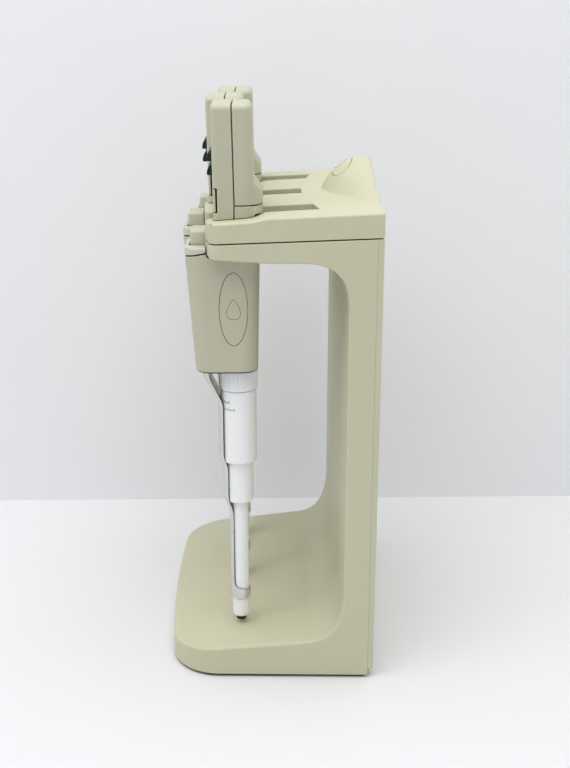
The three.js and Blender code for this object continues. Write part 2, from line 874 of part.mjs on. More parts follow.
// The piston and the lead screw it hangs on are one moving piece.
function piston() {
  return turned(
    [
      [0, PISTON.bottom],
      [PISTON.radius, PISTON.bottom],
      [PISTON.radius, PISTON.top],
      [PISTON.screwRadius, PISTON.top + 2],
      [PISTON.screwRadius, PISTON.screwTop],
      [0, PISTON.screwTop],
    ],
    16,
  );
}

function driveMotor() {
  return turned(ringProfile(MOTOR.bore, MOTOR.radius, MOTOR.bottom, MOTOR.top), 20);
}

function makePipette({ side, x, forward, lean }) {
  const pipette = new THREE.Group();
  const pieces = [
    ["handle_shell", handleShell(), GREY_CREAM],
    ["shoulder_trim", shoulderTrim(), CREAM],
    ["ejector_button", ejectorButton(), GREY_CREAM],
    ["ejector_arm", ejectorArm(), STEEL],
    ["ejector_spring", ejectorSpring(), STEEL],
    ["head_front_shell", headFrontShell(), GREY_CREAM],
    ["head_rear_shell", headRearShell(), GREY_CREAM],
    ["battery_pack", batteryPack(), GREY_CREAM],
    ["display_board", displayBoard(), WINDOW],
    ["trigger_key", triggerKey(), GREY_CREAM],
    ["key_upper", wedgeKey(1), KEY_GREEN],
    ["key_lower", wedgeKey(0), KEY_GREEN],
    ["nose_nut", noseNut(), WHITE],
    ["nose_barrel", noseBarrel(), WHITE],
    ["piston", piston(), STEEL],
    ["drive_motor", driveMotor(), BLACK],
  ];
  for (const [name, body, material] of pieces) {
    pipette.add(meshOf(`${name}_${side}`, body, material));
  }
  pipette.rotation.x = THREE.MathUtils.degToRad(lean);
  pipette.position.set(x, NOSE_Y - forward, HANG_HEIGHT);
  return pipette;
}

// ---------------------------------------------------------------- the set
function makeSet() {
  const group = new THREE.Group();
  group.add(makeStand());
  PLACES.forEach((place) => group.add(makePipette(place)));
  return group;
}

export default makeSet();
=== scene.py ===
"""Three electronic pipettes in their charging stand: the looks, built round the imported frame.

Shapes are worked out in millimetres and turned to metres when a mesh is made. A pipette's
pieces are built once, in a frame of its own with the end of the nose at the origin, and then
hung in each of the three places.
"""

import json
import math

import bmesh
import bpy
from mathutils import Matrix, Vector


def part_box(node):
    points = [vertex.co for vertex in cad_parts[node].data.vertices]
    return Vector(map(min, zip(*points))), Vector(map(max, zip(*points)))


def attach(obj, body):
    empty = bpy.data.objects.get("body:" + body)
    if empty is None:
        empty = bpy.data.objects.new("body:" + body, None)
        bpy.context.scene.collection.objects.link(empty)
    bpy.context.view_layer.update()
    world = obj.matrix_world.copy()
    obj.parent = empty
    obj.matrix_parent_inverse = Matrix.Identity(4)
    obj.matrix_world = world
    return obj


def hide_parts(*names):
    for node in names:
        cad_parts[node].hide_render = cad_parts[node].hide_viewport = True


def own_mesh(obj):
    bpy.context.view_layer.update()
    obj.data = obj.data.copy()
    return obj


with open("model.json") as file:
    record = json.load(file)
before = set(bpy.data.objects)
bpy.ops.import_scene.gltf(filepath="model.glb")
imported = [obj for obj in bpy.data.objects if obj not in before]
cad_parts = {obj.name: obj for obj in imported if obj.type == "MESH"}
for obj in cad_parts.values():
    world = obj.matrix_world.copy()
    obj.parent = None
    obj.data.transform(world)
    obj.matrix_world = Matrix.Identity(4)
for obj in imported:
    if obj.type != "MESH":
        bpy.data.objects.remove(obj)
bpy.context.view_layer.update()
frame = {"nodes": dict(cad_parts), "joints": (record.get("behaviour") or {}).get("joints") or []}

MM = 0.001
SIDES = ("right", "centre", "left")


# ---------------------------------------------------------------- measures from the frame
def box(node):
    """Lowest and highest corner of a CAD node, in mm."""
    low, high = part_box(node)
    return low / MM, high / MM


def joint(name):
    return next(j for j in frame["joints"] if j["name"] == name)


def place_of(side):
    """The frame of one pipette: its origin is the end of the nose, its z runs up the nose."""
    turn = joint(f"nut_turn_{side}")
    up = Vector(turn["axis"]).normalized()
    rise = joint("nut_turn_right")["pos_m"][2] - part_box("nose_barrel_right")[0].z
    origin = Vector(turn["pos_m"]) - up * rise
    lean = math.atan2(-up.y, up.z)
    return Matrix.Translation(origin) @ Matrix.Rotation(lean, 4, "X")


PLACES = {side: place_of(side) for side in SIDES}


def local_box(node):
    """A CAD node's corners in the frame of a pipette, read on the right-hand one."""
    low, high = box(f"{node}_right")
    origin = PLACES["right"].translation / MM
    return low - origin, high - origin


PANEL_LOW, PANEL_HIGH = box("rear_panel")
BODY_LOW, BODY_HIGH = box("stand_body")
BADGE_LOW, BADGE_HIGH = box("badge")
REAR = PANEL_HIGH.y
REAR_HALF = PANEL_HIGH.x
SEAM_REAR = PANEL_HIGH.z
FOOT_HEIGHT = BODY_LOW.z
PITCH = PLACES["right"].translation.x / MM

SIDE_TAPER = 0.033
BASE = {"top_rear": 24.6, "slope": 0.0956, "corner": 25.0, "bow": 2.0}
COLUMN_FACE = REAR - 16.0
UNDERSIDE = {"rear": 221.3, "rise": 2.4}
DECK = {
    "rear": 245.5,
    "slope": 0.050,
    "step_rear": -0.5,  # the deck drops here to the seats under the heads
    "step_front": -8.0,
    "drop": 1.0,
    "front_slope": 0.075,
}
SEAM_SLOPE = 0.04
SEAM_GAP = 0.6
SLOT = {"half": 9.0, "middle_end": 18.0, "outer_inner": 22.0, "outer_outer": 25.0}
TIP = {"middle": -32.4, "bow": 0.0007, "corner": 5.0}
SWELL = {"half": 62.0, "depth": 25.5, "crest": 15.9, "crest_at": 6.0, "blunt": 0.13, "flank": 1.22}


def half_width(y):
    return REAR_HALF - SIDE_TAPER * (REAR - y)


def base_top(y):
    return BASE["top_rear"] - BASE["slope"] * (REAR - y)


def deck_top(y):
    """Height of the deck: a gentle slope, a small step, then a steeper slope to the tips."""
    if y > DECK["step_rear"]:
        return DECK["rear"] - DECK["slope"] * (REAR - y)
    high = DECK["rear"] - DECK["slope"] * (REAR - DECK["step_rear"])
    share = min(1.0, (DECK["step_rear"] - y) / (DECK["step_rear"] - DECK["step_front"]))
    eased = share * share * (3 - 2 * share)
    return high - DECK["drop"] * eased - DECK["front_slope"] * (DECK["step_rear"] - y)


def seam_height(y):
    return SEAM_REAR - SEAM_SLOPE * (REAR - y)


def tip_line(x):
    return TIP["middle"] + TIP["bow"] * x * x


# ---------------------------------------------------------------- mesh tools
def mesh_object(name, points, faces):
    """A scene object from points in mm."""
    mesh = bpy.data.meshes.new(name)
    mesh.from_pydata([Vector(p) * MM for p in points], [], faces)
    made = bmesh.new()
    made.from_mesh(mesh)
    bmesh.ops.remove_doubles(made, verts=made.verts, dist=1e-7)
    bmesh.ops.recalc_face_normals(made, faces=made.faces)
    made.to_mesh(mesh)
    made.free()
    thing = bpy.data.objects.new(name, mesh)
    bpy.context.scene.collection.objects.link(thing)
    return thing


def bake(thing):
    """Replaces a mesh by what its modifiers make of it."""
    graph = bpy.context.evaluated_depsgraph_get()
    mesh = bpy.data.meshes.new_from_object(thing.evaluated_get(graph))
    thing.modifiers.clear()
    thing.data = mesh
    return thing


def combine(target, tool, operation):
    step = target.modifiers.new("combine", "BOOLEAN")
    step.operation = operation
    step.solver = "EXACT"
    step.material_mode = "TRANSFER"
    step.object = tool
    bake(target)
    bpy.data.objects.remove(tool)
    return target


def cut(target, *tools):
    for tool in tools:
        combine(target, tool, "DIFFERENCE")
    return target


def block(low, high):
    xs, ys, zs = zip(low, high)
    points = [(x, y, z) for x in xs for y in ys for z in zs]
    faces = [(0, 1, 3, 2), (4, 6, 7, 5), (0, 4, 5, 1), (2, 3, 7, 6), (0, 2, 6, 4), (1, 5, 7, 3)]
    return mesh_object("block", points, faces)


def stack(rings):
    """A skin over rings that all have the same number of points, capped at both ends."""
    count = len(rings[0])
    points = [p for ring in rings for p in ring]
    faces = []
    for level in range(len(rings) - 1):
        for i in range(count):
            a = level * count + i
            b = level * count + (i + 1) % count
            faces.append((a, b, b + count, a + count))
    faces.append(tuple(range(count - 1, -1, -1)))
    faces.append(tuple((len(rings) - 1) * count + i for i in range(count)))
    return mesh_object("stack", points, faces)


def circle(count):
    """Cosine and sine of evenly spaced angles, once round."""
    angles = [2 * math.pi * i / count for i in range(count)]
    return [(math.cos(angle), math.sin(angle)) for angle in angles]


def loop(name, rings, closed):
    """A skin over rings that come back to the first; closed also joins each ring's ends."""
    count = len(rings[0])
    points = [p for ring in rings for p in ring]
    faces = []
    for i in range(len(rings)):
        j = (i + 1) % len(rings)
        for k in range(count if closed else count - 1):
            m = (k + 1) % count
            faces.append((i * count + k, j * count + k, j * count + m, i * count + m))
    return mesh_object(name, points, faces)


def column(outline, z0, z1):
    """An outline seen from above, pulled up from z0 to z1."""
    return stack([[(x, y, z) for x, y in outline] for z in (z0, z1)])


def sideways(outline, x0, x1):
    """An outline drawn in (y, z), carried sideways from x0 to x1."""
    return stack([[(x, y, z) for y, z in outline] for x in (x0, x1)])


def tapered(outline):
    """An outline drawn in (y, z), carried out to the stand's two side faces."""
    return stack([[(s * half_width(y), y, z) for y, z in outline] for s in (-1, 1)])


def turned(profile, steps=96):
    """A profile of (radius, height) points turned round the z axis; a bored one is closed."""
    rings = [[(r * cosine, r * sine, z) for r, z in profile] for cosine, sine in circle(steps)]
    return loop("turned", rings, closed=profile[0][0] > 0)


def curve(start, pull, end, steps=12):
    """Points on a quadratic curve, without its start."""
    points = []
    for i in range(1, steps + 1):
        t = i / steps
        points.append(tuple(
            (1 - t) ** 2 * a + 2 * t * (1 - t) * b + t * t * c
            for a, b, c in zip(start, pull, end)
        ))
    return points


def smoothstep(low, high, value):
    share = min(1.0, max(0.0, (value - low) / (high - low)))
    return share * share * (3 - 2 * share)


def dissolve_flat(thing, angle=0.4):
    made = bmesh.new()
    made.from_mesh(thing.data)
    bmesh.ops.dissolve_limit(
        made, angle_limit=math.radians(angle), verts=made.verts, edges=made.edges
    )
    made.to_mesh(thing.data)
    made.free()
    return thing


def soften(thing, width, segments=3, rule=None, sharp=32):
    """Rounds edges that turn by more than sharp degrees. rule(midpoint in mm) gives a share."""
    dissolve_flat(thing)
    made = bmesh.new()
    made.from_mesh(thing.data)
    weight = made.edges.layers.float.get("bevel_weight_edge")
    if weight is None:
        weight = made.edges.layers.float.new("bevel_weight_edge")
    for edge in made.edges:
        turns = edge.is_manifold and edge.calc_face_angle(0) > math.radians(sharp)
        middle = (edge.verts[0].co + edge.verts[1].co) / 2 / MM
        edge[weight] = (rule(middle) if rule else 1.0) if turns else 0.0
    made.to_mesh(thing.data)
    made.free()
    step = thing.modifiers.new("round", "BEVEL")
    step.limit_method = "WEIGHT"
    step.width = width * MM
    step.segments = segments
    step.use_clamp_overlap = False
    step.miter_outer = "MITER_ARC"
    bake(thing)
    return smooth(thing)


def smooth(thing):
    """Smooth shading that keeps the flat faces flat."""
    thing.data.polygons.foreach_set("use_smooth", [True] * len(thing.data.polygons))
    step = thing.modifiers.new("normals", "WEIGHTED_NORMAL")
    step.keep_sharp = True
    step.weight = 60
    return bake(thing)


# ---------------------------------------------------------------- materials
def blank_material(name):
    """A new material, with its node tree and its surface shader."""
    made = bpy.data.materials.new(name)
    made.use_nodes = True
    return made, made.node_tree, made.node_tree.nodes["Principled BSDF"]


def mix_color(tree, factor, a, b):
    node = tree.nodes.new("ShaderNodeMix")
    node.data_type = "RGBA"
    for socket, value in ((node.inputs[0], factor), (node.inputs[6], a), (node.inputs[7], b)):
        if isinstance(value, bpy.types.NodeSocket):
            tree.links.new(value, socket)
        else:
            socket.default_value = value
    return node.outputs[2]


def ramp(tree, value, low, high):
    node = tree.nodes.new("ShaderNodeMapRange")
    tree.links.new(value, node.inputs["Value"])
    node.inputs["From Min"].default_value = low
    node.inputs["From Max"].default_value = high
    return node.outputs["Result"]


def noise_at(tree, scale, detail=3.0, stretch=(1, 1, 1)):
    place = tree.nodes.new("ShaderNodeTexCoord")
    spread = tree.nodes.new("ShaderNodeMapping")
    spread.inputs["Scale"].default_value = stretch
    tree.links.new(place.outputs["Object"], spread.inputs["Vector"])
    node = tree.nodes.new("ShaderNodeTexNoise")
    node.inputs["Scale"].default_value = scale
    node.inputs["Detail"].default_value = detail
    tree.links.new(spread.outputs["Vector"], node.inputs["Vector"])
    return node.outputs["Fac"]


def shade(color, factor):
    return tuple(min(1.0, c * factor) for c in color[:3]) + (1.0,)


def edge_highlight_mask(tree, radius):
    """Near 1 on outer edges, 0 on flat faces: where a highlight is painted into the colour."""
    bevel = tree.nodes.new("ShaderNodeBevel")
    bevel.samples = 4
    bevel.inputs["Radius"].default_value = radius * MM
    place = tree.nodes.new("ShaderNodeNewGeometry")
    dot = tree.nodes.new("ShaderNodeVectorMath")
    dot.operation = "DOT_PRODUCT"
    tree.links.new(bevel.outputs["Normal"], dot.inputs[0])
    tree.links.new(place.outputs["Normal"], dot.inputs[1])
    return ramp(tree, dot.outputs["Value"], 0.995, 0.9)


def crevice_shade_mask(tree, reach):
    """Near 1 in seams and corners, by ambient occlusion: where shade is painted into the colour.
    """
    node = tree.nodes.new("ShaderNodeAmbientOcclusion")
    node.samples = 4
    node.inputs["Distance"].default_value = reach * MM
    return ramp(tree, node.outputs["AO"], 0.75, 0.2)


def texture(tree, surface, spread, least, most, grain, strength, depth):
    """Roughness from least to most by one noise, and fine bumps of depth mm by another."""
    rough = tree.nodes.new("ShaderNodeMapRange")
    tree.links.new(spread, rough.inputs["Value"])
    rough.inputs["To Min"].default_value = least
    rough.inputs["To Max"].default_value = most
    tree.links.new(rough.outputs["Result"], surface.inputs["Roughness"])
    bump = tree.nodes.new("ShaderNodeBump")
    bump.inputs["Strength"].default_value = strength
    bump.inputs["Distance"].default_value = depth * MM
    tree.links.new(grain, bump.inputs["Height"])
    tree.links.new(bump.outputs["Normal"], surface.inputs["Normal"])


def plastic(name, color, aged, roughness, grain=1500, depth=0.02, edge_highlight=0.10, crevice_shade=None, soft=0.0):
    """Moulded plastic: a fine grain, patches of ageing, a painted highlight on the outer edges,
    painted shade in the seams and corners.
    """
    made, tree, surface = blank_material(name)
    patches = ramp(tree, noise_at(tree, 22, 4), 0.35, 0.7)
    base = mix_color(tree, patches, color + (1,), aged + (1,))
    specks = ramp(tree, noise_at(tree, 900, 2), 0.62, 0.78)
    base = mix_color(tree, specks, base, shade(aged, 0.9))
    # Painted highlight: the outer edges are paled towards white.
    if edge_highlight:
        scaled = tree.nodes.new("ShaderNodeMath")
        scaled.operation = "MULTIPLY"
        scaled.inputs[1].default_value = edge_highlight
        tree.links.new(edge_highlight_mask(tree, 0.7), scaled.inputs[0])
        base = mix_color(tree, scaled.outputs[0], base, (1, 1, 0.97, 1))
    # Painted shade: seams and corners are darkened towards the crevice colour.
    if crevice_shade:
        base = mix_color(tree, crevice_shade_mask(tree, 2.2), base, crevice_shade + (1,))
    tree.links.new(base, surface.inputs["Base Color"])
    texture(
        tree, surface, noise_at(tree, 60, 5), roughness - 0.07, roughness + 0.07,
        noise_at(tree, grain, 3), 0.6, depth,
    )
    surface.inputs["Subsurface Weight"].default_value = soft
    surface.inputs["Subsurface Scale"].default_value = 0.002
    return made


def metal(name, color, roughness, stretch=(1, 1, 0.04), streaks=2600):
    """Rolled steel: fine streaks along z, dull patches, a little dark staining, painted shade in
    its crevices.
    """
    made, tree, surface = blank_material(name)
    surface.inputs["Metallic"].default_value = 1.0
    stain = ramp(tree, noise_at(tree, 90, 5), 0.5, 0.8)
    base = mix_color(tree, stain, color + (1,), shade(color, 0.62))
    # Painted shade: the steel darkens in its crevices.
    base = mix_color(tree, crevice_shade_mask(tree, 1.5), base, shade(color, 0.25))
    tree.links.new(base, surface.inputs["Base Color"])
    texture(
        tree, surface, noise_at(tree, streaks, 4, stretch), roughness - 0.08, roughness + 0.14,
        noise_at(tree, streaks, 3, stretch), 0.3, 0.01,
    )
    return made


# The colour painted into seams and corners as their shade.
CREVICE_SHADE = (0.15, 0.135, 0.04)
STAND = plastic("stand_cream", (0.565, 0.56, 0.40), (0.58, 0.565, 0.39), 0.5, crevice_shade=CREVICE_SHADE)
SHELL = plastic("pipette_cream", (0.50, 0.50, 0.375), (0.515, 0.505, 0.37), 0.46, crevice_shade=CREVICE_SHADE)
PALE = plastic("button_grey", (0.56, 0.565, 0.455), (0.56, 0.56, 0.44), 0.42, crevice_shade=CREVICE_SHADE)
# The white parts take a painted grey shade in their seams and corners.
WHITE = plastic(
    "nose_white", (0.92, 0.925, 0.925), (0.90, 0.905, 0.895), 0.32, grain=700, depth=0.006,
    edge_highlight=0.0, crevice_shade=(0.45, 0.45, 0.44), soft=0.15,
)
GREEN = plastic("key_green", (0.001, 0.016, 0.009), (0.001, 0.012, 0.007), 0.5, edge_highlight=0.01)
BLACK = plastic("black_plastic", (0.012, 0.012, 0.011), (0.018, 0.017, 0.015), 0.45, edge_highlight=0.03)
# A near-black colour for the walls of the gap round the badge: painted shade in the gap.
SEAM_SHADE = plastic("painted_seam_shade", (0.014, 0.012, 0.003), (0.01, 0.009, 0.002), 0.9, edge_highlight=0.0)
LINE = plastic("line_olive", (0.27, 0.25, 0.14), (0.24, 0.22, 0.12), 0.6, edge_highlight=0.0)
RUBBER = plastic("rubber", (0.02, 0.02, 0.019), (0.03, 0.029, 0.027), 0.8, grain=900, depth=0.04)
GLASS = plastic("display_window", (0.05, 0.062, 0.05), (0.06, 0.07, 0.055), 0.1, depth=0.001)
LCD = plastic("display_panel", (0.24, 0.27, 0.20), (0.27, 0.30, 0.22), 0.25, depth=0.001)
CIRCUIT = plastic("circuit_board", (0.02, 0.13, 0.05), (0.03, 0.16, 0.06), 0.4, grain=400)
STEEL = metal("rolled_steel", (0.66, 0.65, 0.63), 0.2)


# ---------------------------------------------------------------- naming and riding
def dress(thing, look):
    """Gives a piece its material, keeping any extra ones that booleans brought in."""
    slots = thing.data.materials
    if len(slots) == 0:
        slots.append(look)
    elif slots[0] is None:
        slots[0] = look
    return thing


def add(thing, name, look, body, slot, *nodes):
    """Names a finished piece of the stand, dresses it and lets it ride on its body."""
    thing.name = name
    thing.data.name = name
    dress(thing, look)
    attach(thing, body)
    if nodes:
        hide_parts(*nodes)
    return thing


def hang(thing, name, look, body, node=None, fit=None):
    """Hangs copies of a finished pipette piece in the three places, then drops the pattern.

    fit(copy, side) may change the copy's mesh to suit its place.
    """
    dress(thing, look)
    copies = []
    for side in SIDES:
        twin = bpy.data.objects.new(f"{name}_{side}", thing.data)
        bpy.context.scene.collection.objects.link(twin)
        if fit:
            twin.data = thing.data.copy()
            fit(twin, side)
        twin.matrix_world = PLACES[side]
        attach(twin, f"{body}_{side}")
        if node:
            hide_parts(f"{node}_{side}")
        copies.append(twin)
    bpy.data.objects.remove(thing)
    return copies


# ---------------------------------------------------------------- the stand
FAR = 110.0  # well outside the stand
SEAM_EDGE = 0.22  # share of the full rounding kept along seams


def side_corner(start, radius, steps=14):
    """From a side face round to the front, as (x, y), on the right-hand side."""
    points = []
    for i in range(steps + 1):
        angle = math.pi / 2 * i / steps
        y = start - radius * math.sin(angle)
        points.append((half_width(y) - radius * (1 - math.cos(angle)), y))
    return points


def mirrored(points):
    return [(-x, y) for x, y in reversed(points)]


def front_cutter(edge, start, z0, z1):
    """All that lies in front of an edge that runs from the right side to the left."""
    front = -REAR - 30
    outline = [(FAR, start), *edge, (-FAR, start), (-FAR, front), (FAR, front)]
    return column(outline, z0, z1)


def base_front(inset=0.0):
    """The front of the base from the right side to the left, drawn in by inset."""
    radius = BASE["corner"] - inset
    shoulder = -REAR + BASE["bow"] + inset
    corner = [(x - inset, y) for x, y in side_corner(shoulder + radius, radius)]
    reach = corner[-1][0]
    bow = [(reach * t / 8, shoulder - BASE["bow"] * (1 - (t / 8) ** 2)) for t in range(7, -8, -1)]
    return [*corner, *bow, *mirrored(corner)]


def base_cutter():
    edge = base_front()
    return front_cutter(edge, edge[0][1], -10, 120)


def base_plate():
    """A dark plate that closes the base from below and stands clear of the bench."""
    rear = BODY_HIGH.y - 1.2
    side = half_width(rear) - 1.2
    plate = column([(side, rear), *base_front(1.2), (-side, rear)], 0.7, FOOT_HEIGHT + 0.4)
    smooth(plate)
    return add(plate, "bottom_plate", BLACK, "stand", "stand_plastic", "base_plate")


def slot_edge(centre, right_end, left_end, corner=4.0):
    """The edge of the deck into one slot, round its end and out again."""
    right = centre + SLOT["half"]
    left = centre - SLOT["half"]
    right_tip = (right + corner, tip_line(right))
    left_tip = (left - corner, tip_line(left))
    into = curve(right_tip, (right, right_tip[1]), (right, right_tip[1] + corner), 8)
    out = curve((left, left_tip[1] + corner), (left, left_tip[1]), left_tip, 8)
    out.insert(0, (left, left_tip[1] + corner))
    return [right_tip, *into, (right, right_end), (left, left_end), *out]


def deck_cutter():
    side = half_width(TIP["middle"])
    start = tip_line(side) + TIP["corner"]
    corner = side_corner(start, TIP["corner"], 10)
    edge = [
        *corner,
        *slot_edge(PITCH, SLOT["outer_outer"], SLOT["outer_inner"]),
        *slot_edge(0.0, SLOT["middle_end"], SLOT["middle_end"]),
        *slot_edge(-PITCH, SLOT["outer_inner"], SLOT["outer_outer"]),
        *mirrored(corner),
    ]
    return front_cutter(edge, start, 120, 300)


def stand_body():
    """Base, column and arms as one C, seen from the side."""
    rear = BODY_HIGH.y
    front = -REAR - 10
    tip = TIP["middle"] - 10
    under = UNDERSIDE["rear"]
    foot = COLUMN_FACE - 18
    head = COLUMN_FACE - 21
    rise_start = base_top(COLUMN_FACE) + 29
    outline = [
        (rear, FOOT_HEIGHT),
        (rear, seam_height(rear)),
        (tip, seam_height(tip)),
        (tip, under + UNDERSIDE["rise"]),
        (0, under),
        (head, under),
        *curve((head, under), (COLUMN_FACE, under), (COLUMN_FACE, under - 21), 14),
        (COLUMN_FACE, rise_start),
        *curve(
            (COLUMN_FACE, rise_start), (COLUMN_FACE, base_top(COLUMN_FACE)),
            (foot, base_top(foot)), 14,
        ),
        (front, base_top(front)),
        (front, FOOT_HEIGHT),
    ]
    body = cut(tapered(outline), base_cutter(), deck_cutter())

    def rule(middle):
        if middle.y > rear - 1:
            return 0.07
        if middle.z > seam_height(middle.y) - 1:
            return SEAM_EDGE
        if middle.z < FOOT_HEIGHT + 1:
            return 0.4
        return 1.0 - 0.35 * smoothstep(40, 110, middle.z)

    soften(body, 1.6, 4, rule)
    return add(body, "stand_shell", STAND, "stand", "stand_plastic", "stand_body")


def swell_rise(x, forward):
    """Height of the swell above the deck, forward being the way from the rear edge."""
    share = max(0.0, forward - SWELL["crest_at"]) / (SWELL["depth"] - SWELL["crest_at"])
    crest = SWELL["crest"] * max(0.0, 1 - share * share) ** 0.75
    behind = max(0.0, SWELL["crest_at"] - forward) / SWELL["crest_at"]
    crest -= 0.8 * behind * behind
    width = SWELL["half"] * max(0.02, 1 - forward / SWELL["depth"]) ** 0.8
    if abs(x) >= width:
        return 0.0
    blunt = SWELL["blunt"]
    across = math.hypot(x / width, blunt) - blunt
    across /= math.hypot(1, blunt) - blunt
    return crest * max(0.0, 1 - across) ** SWELL["flank"]


def cover_height(x, y):
    """Height of the deck with its swell."""
    return deck_top(y) + swell_rise(x, REAR - y)


BADGE_HALF = (BADGE_HIGH - BADGE_LOW) / 2 * 0.88
BADGE_MIDDLE = (BADGE_HIGH + BADGE_LOW) / 2
BADGE_THICK = 1.2
LINE_GAP = 0.22


def badge_plug(grow, depth, top=None, steps=72):
    """An oval plug let into the swell. Its upper face follows the swell, or is flat at top."""
    rings = []
    shares = (0.02, 0.2, 0.4, 0.6, 0.75, 0.88, 0.96, 1.0)
    rows = [(share, 0.0 if top is None else top) for share in shares]
    rows += [(share, -depth) for share in reversed(shares)]
    for share, lift in rows:
        ring = []
        for cosine, sine in circle(steps):
            x = share * (BADGE_HALF.x + grow) * cosine
            y = BADGE_MIDDLE.y + share * (BADGE_HALF.y + grow) * sine
            ring.append((x, y, top if lift > 0 else cover_height(x, y) + lift))
        rings.append(ring)
    return stack(rings)


def tube(points, radius, across, sides=8):
    """A closed wire along points; across is a vector that is never along the wire."""
    rings = []
    count = len(points)
    for i in range(count):
        here = Vector(points[i])
        along = (Vector(points[(i + 1) % count]) - Vector(points[i - 1])).normalized()
        first = along.cross(Vector(across)).normalized()
        second = along.cross(first)
        rings.append([
            here + radius * (cosine * first + sine * second) for cosine, sine in circle(sides)
        ])
    return loop("tube", rings, closed=True)


def drop_outline(height, steps=40):
    """A plain water drop with a blunt point, as (across, up) about its middle."""
    points = []
    for i in range(steps):
        angle = 2 * math.pi * (i + 0.5) / steps
        swollen = 0.30 - 0.17 * math.cos(angle)
        points.append((swollen * height * math.sin(angle), 0.5 * height * math.cos(angle)))
    return points


def join(target, other):
    """Puts a second mesh into the first one's object, with its material."""
    for look in other.data.materials:
        if look.name not in target.data.materials:
            target.data.materials.append(look)
    place = target.data.materials.find(other.data.materials[0].name)
    other.data.polygons.foreach_set("material_index", [place] * len(other.data.polygons))
    made = bmesh.new()
    made.from_mesh(target.data)
    made.from_mesh(other.data)
    made.to_mesh(target.data)
    made.free()
    bpy.data.objects.remove(other)
    return target


def badge():
    face = badge_plug(0, BADGE_THICK)
    dress(face, STAND)
    smooth(face)
    wire = []
    for across, up in drop_outline(6.6):
        y = BADGE_MIDDLE.y + up
        wire.append((across, y, cover_height(across, y) - 0.12))
    mark = tube(wire, 0.2, (0, 0, 1))
    dress(mark, LINE)
    join(face, smooth(mark))
    return add(face, "badge_plate", STAND, "stand", "badge_plastic", "badge")


def cover_blank():
    """The cover before its slots are cut: a grid over the deck and swell, on a flat seam."""
    front = TIP["middle"] - 10
    rows = [REAR - 0.5 * i for i in range(int(2 * SWELL["depth"]) + 2)]
    step = DECK["step_rear"] - DECK["step_front"]
    rows += [DECK["step_rear"] - step * i / 12 for i in range(13)]
    rows.append(front)
    across = 110
    rings = []
    for y in rows:
        side = half_width(y)
        tops = []
        for i in range(across + 1):
            x = side * (1 - 2 * i / across)
            tops.append((x, y, cover_height(x, y)))
        seam = seam_height(y) + SEAM_GAP
        rings.append([*tops, (-side, y, seam), (side, y, seam)])
    return stack(rings)


def top_cover():
    cover = cut(cover_blank(), deck_cutter())
    dress(cover, STAND)
    # Cutting the seat leaves the walls of the gap round the badge in the near-black colour:
    # painted shade.
    seat = badge_plug(LINE_GAP, BADGE_THICK + LINE_GAP, top=300.0)
    dress(seat, SEAM_SHADE)
    cut(cover, seat)

    def rule(middle):
        if middle.z < seam_height(middle.y) + SEAM_GAP + 1:
            return SEAM_EDGE
        if middle.y > REAR - 0.1:
            return 0.4
        if abs(middle.x) > half_width(middle.y) - TIP["corner"] - 1:
            return 1.0
        return 0.45 if middle.y < REAR - SWELL["depth"] - 1 else 0.0

    soften(cover, 1.4, 4, rule)
    return add(cover, "deck_cover", STAND, "stand", "stand_plastic", "top_cover")


def rear_panel():
    low = Vector((PANEL_LOW.x, BODY_HIGH.y + 0.05, PANEL_LOW.z + 4.0))
    plate = block(low, PANEL_HIGH)
    jack_low, jack_high = box("power_jack")
    gap = Vector((LINE_GAP, 10, LINE_GAP))
    cut(plate, block(jack_low - gap, jack_high + gap))
    soften(plate, 0.6, 3, lambda middle: 1.0 if middle.y > REAR - 0.5 else 0.18)
    return add(plate, "rear_cover", STAND, "stand", "stand_plastic", "rear_panel")


def foot(node):
    low, high = box(node)
    radius = (high.x - low.x) / 2
    profile = [
        (0, low.z),
        (radius - 3.0, low.z),
        (radius - 0.4, low.z),
        (radius, low.z + 0.4),
        (radius, high.z),
        (0, high.z),
    ]
    disc = turned(profile, 48)
    disc.location = Vector(((low.x + high.x) / 2, (low.y + high.y) / 2, 0)) * MM
    smooth(disc)
    return add(disc, f"pad_{node}", RUBBER, "stand", "foot_rubber", node)


# ---------------------------------------------------------------- one pipette
HANDLE_LOW, HANDLE_HIGH = local_box("handle_shell")
HANDLE = {"front_draw": 4.1, "rear_draw": 1.3, "side_draw": 0.9, "front": 7.5, "rear": 8.0}
SKIN = 2.0
SHOULDER = 0.7  # the flat top behind the trim lies this far below the top of the CAD handle
RIM_REAR = -13.6  # the handle's front edge and the trim on it end here
RIM_SLOPE = 0.19
RIM_GAP = 0.6
TRIM_LOW, TRIM_HIGH = local_box("shoulder_trim")
BUTTON_LOW, BUTTON_HIGH = local_box("ejector_button")
NUT_LOW, NUT_HIGH = local_box("nose_nut")
_, BARREL_HIGH = local_box("nose_barrel")
SHELL_LOW, SHELL_HIGH = local_box("head_front_shell")
_, PACK_HIGH = local_box("battery_pack")
NOSE_Y = PLACES["right"].translation.y / MM
HANG = PLACES["right"].translation.z / MM
HEAD = {
    "rear": 8.6,
    "corner": 3.5,
    "front_corner": 2.6,
    "split": -0.7,
    "pack_seam": 226.9,
    "bulge_top": 238.4,
    "bulge_full": 232.0,
    "bulge_corner": 10.0,
    "top_round": 3.0,
}
HEAD_FACE = SHELL_LOW.y + 1.2
SEAM_HALF = 0.24  # half the gap between two shells of the head
FIT_GAP = 0.35  # round the neck and the button, where they stand in the handle
# How each head sits on its handle: moved to the rear, and leaning forward above its seam.
HEAD_SET = {"right": (0.3, 0.017), "centre": (0.5, 0.0), "left": (0.7, 0.017)}
NOSE = {
    "tip_start": 2.8, "tip": 4.4, "low": 4.5, "low_top": 70.6, "middle": 7.2,
    "middle_top": 92.7, "high": 9.2, "spigot": 8.3, "cylinder": 6.0,
}
OVAL = {"y": -1.45, "z": 176.7, "half_y": 6.9, "half_z": 18.2}
BLOCK_FAR = 60
NECK = {"half": 8.2, "front": -10.4, "rear": 8.4, "bottom": 190.0}


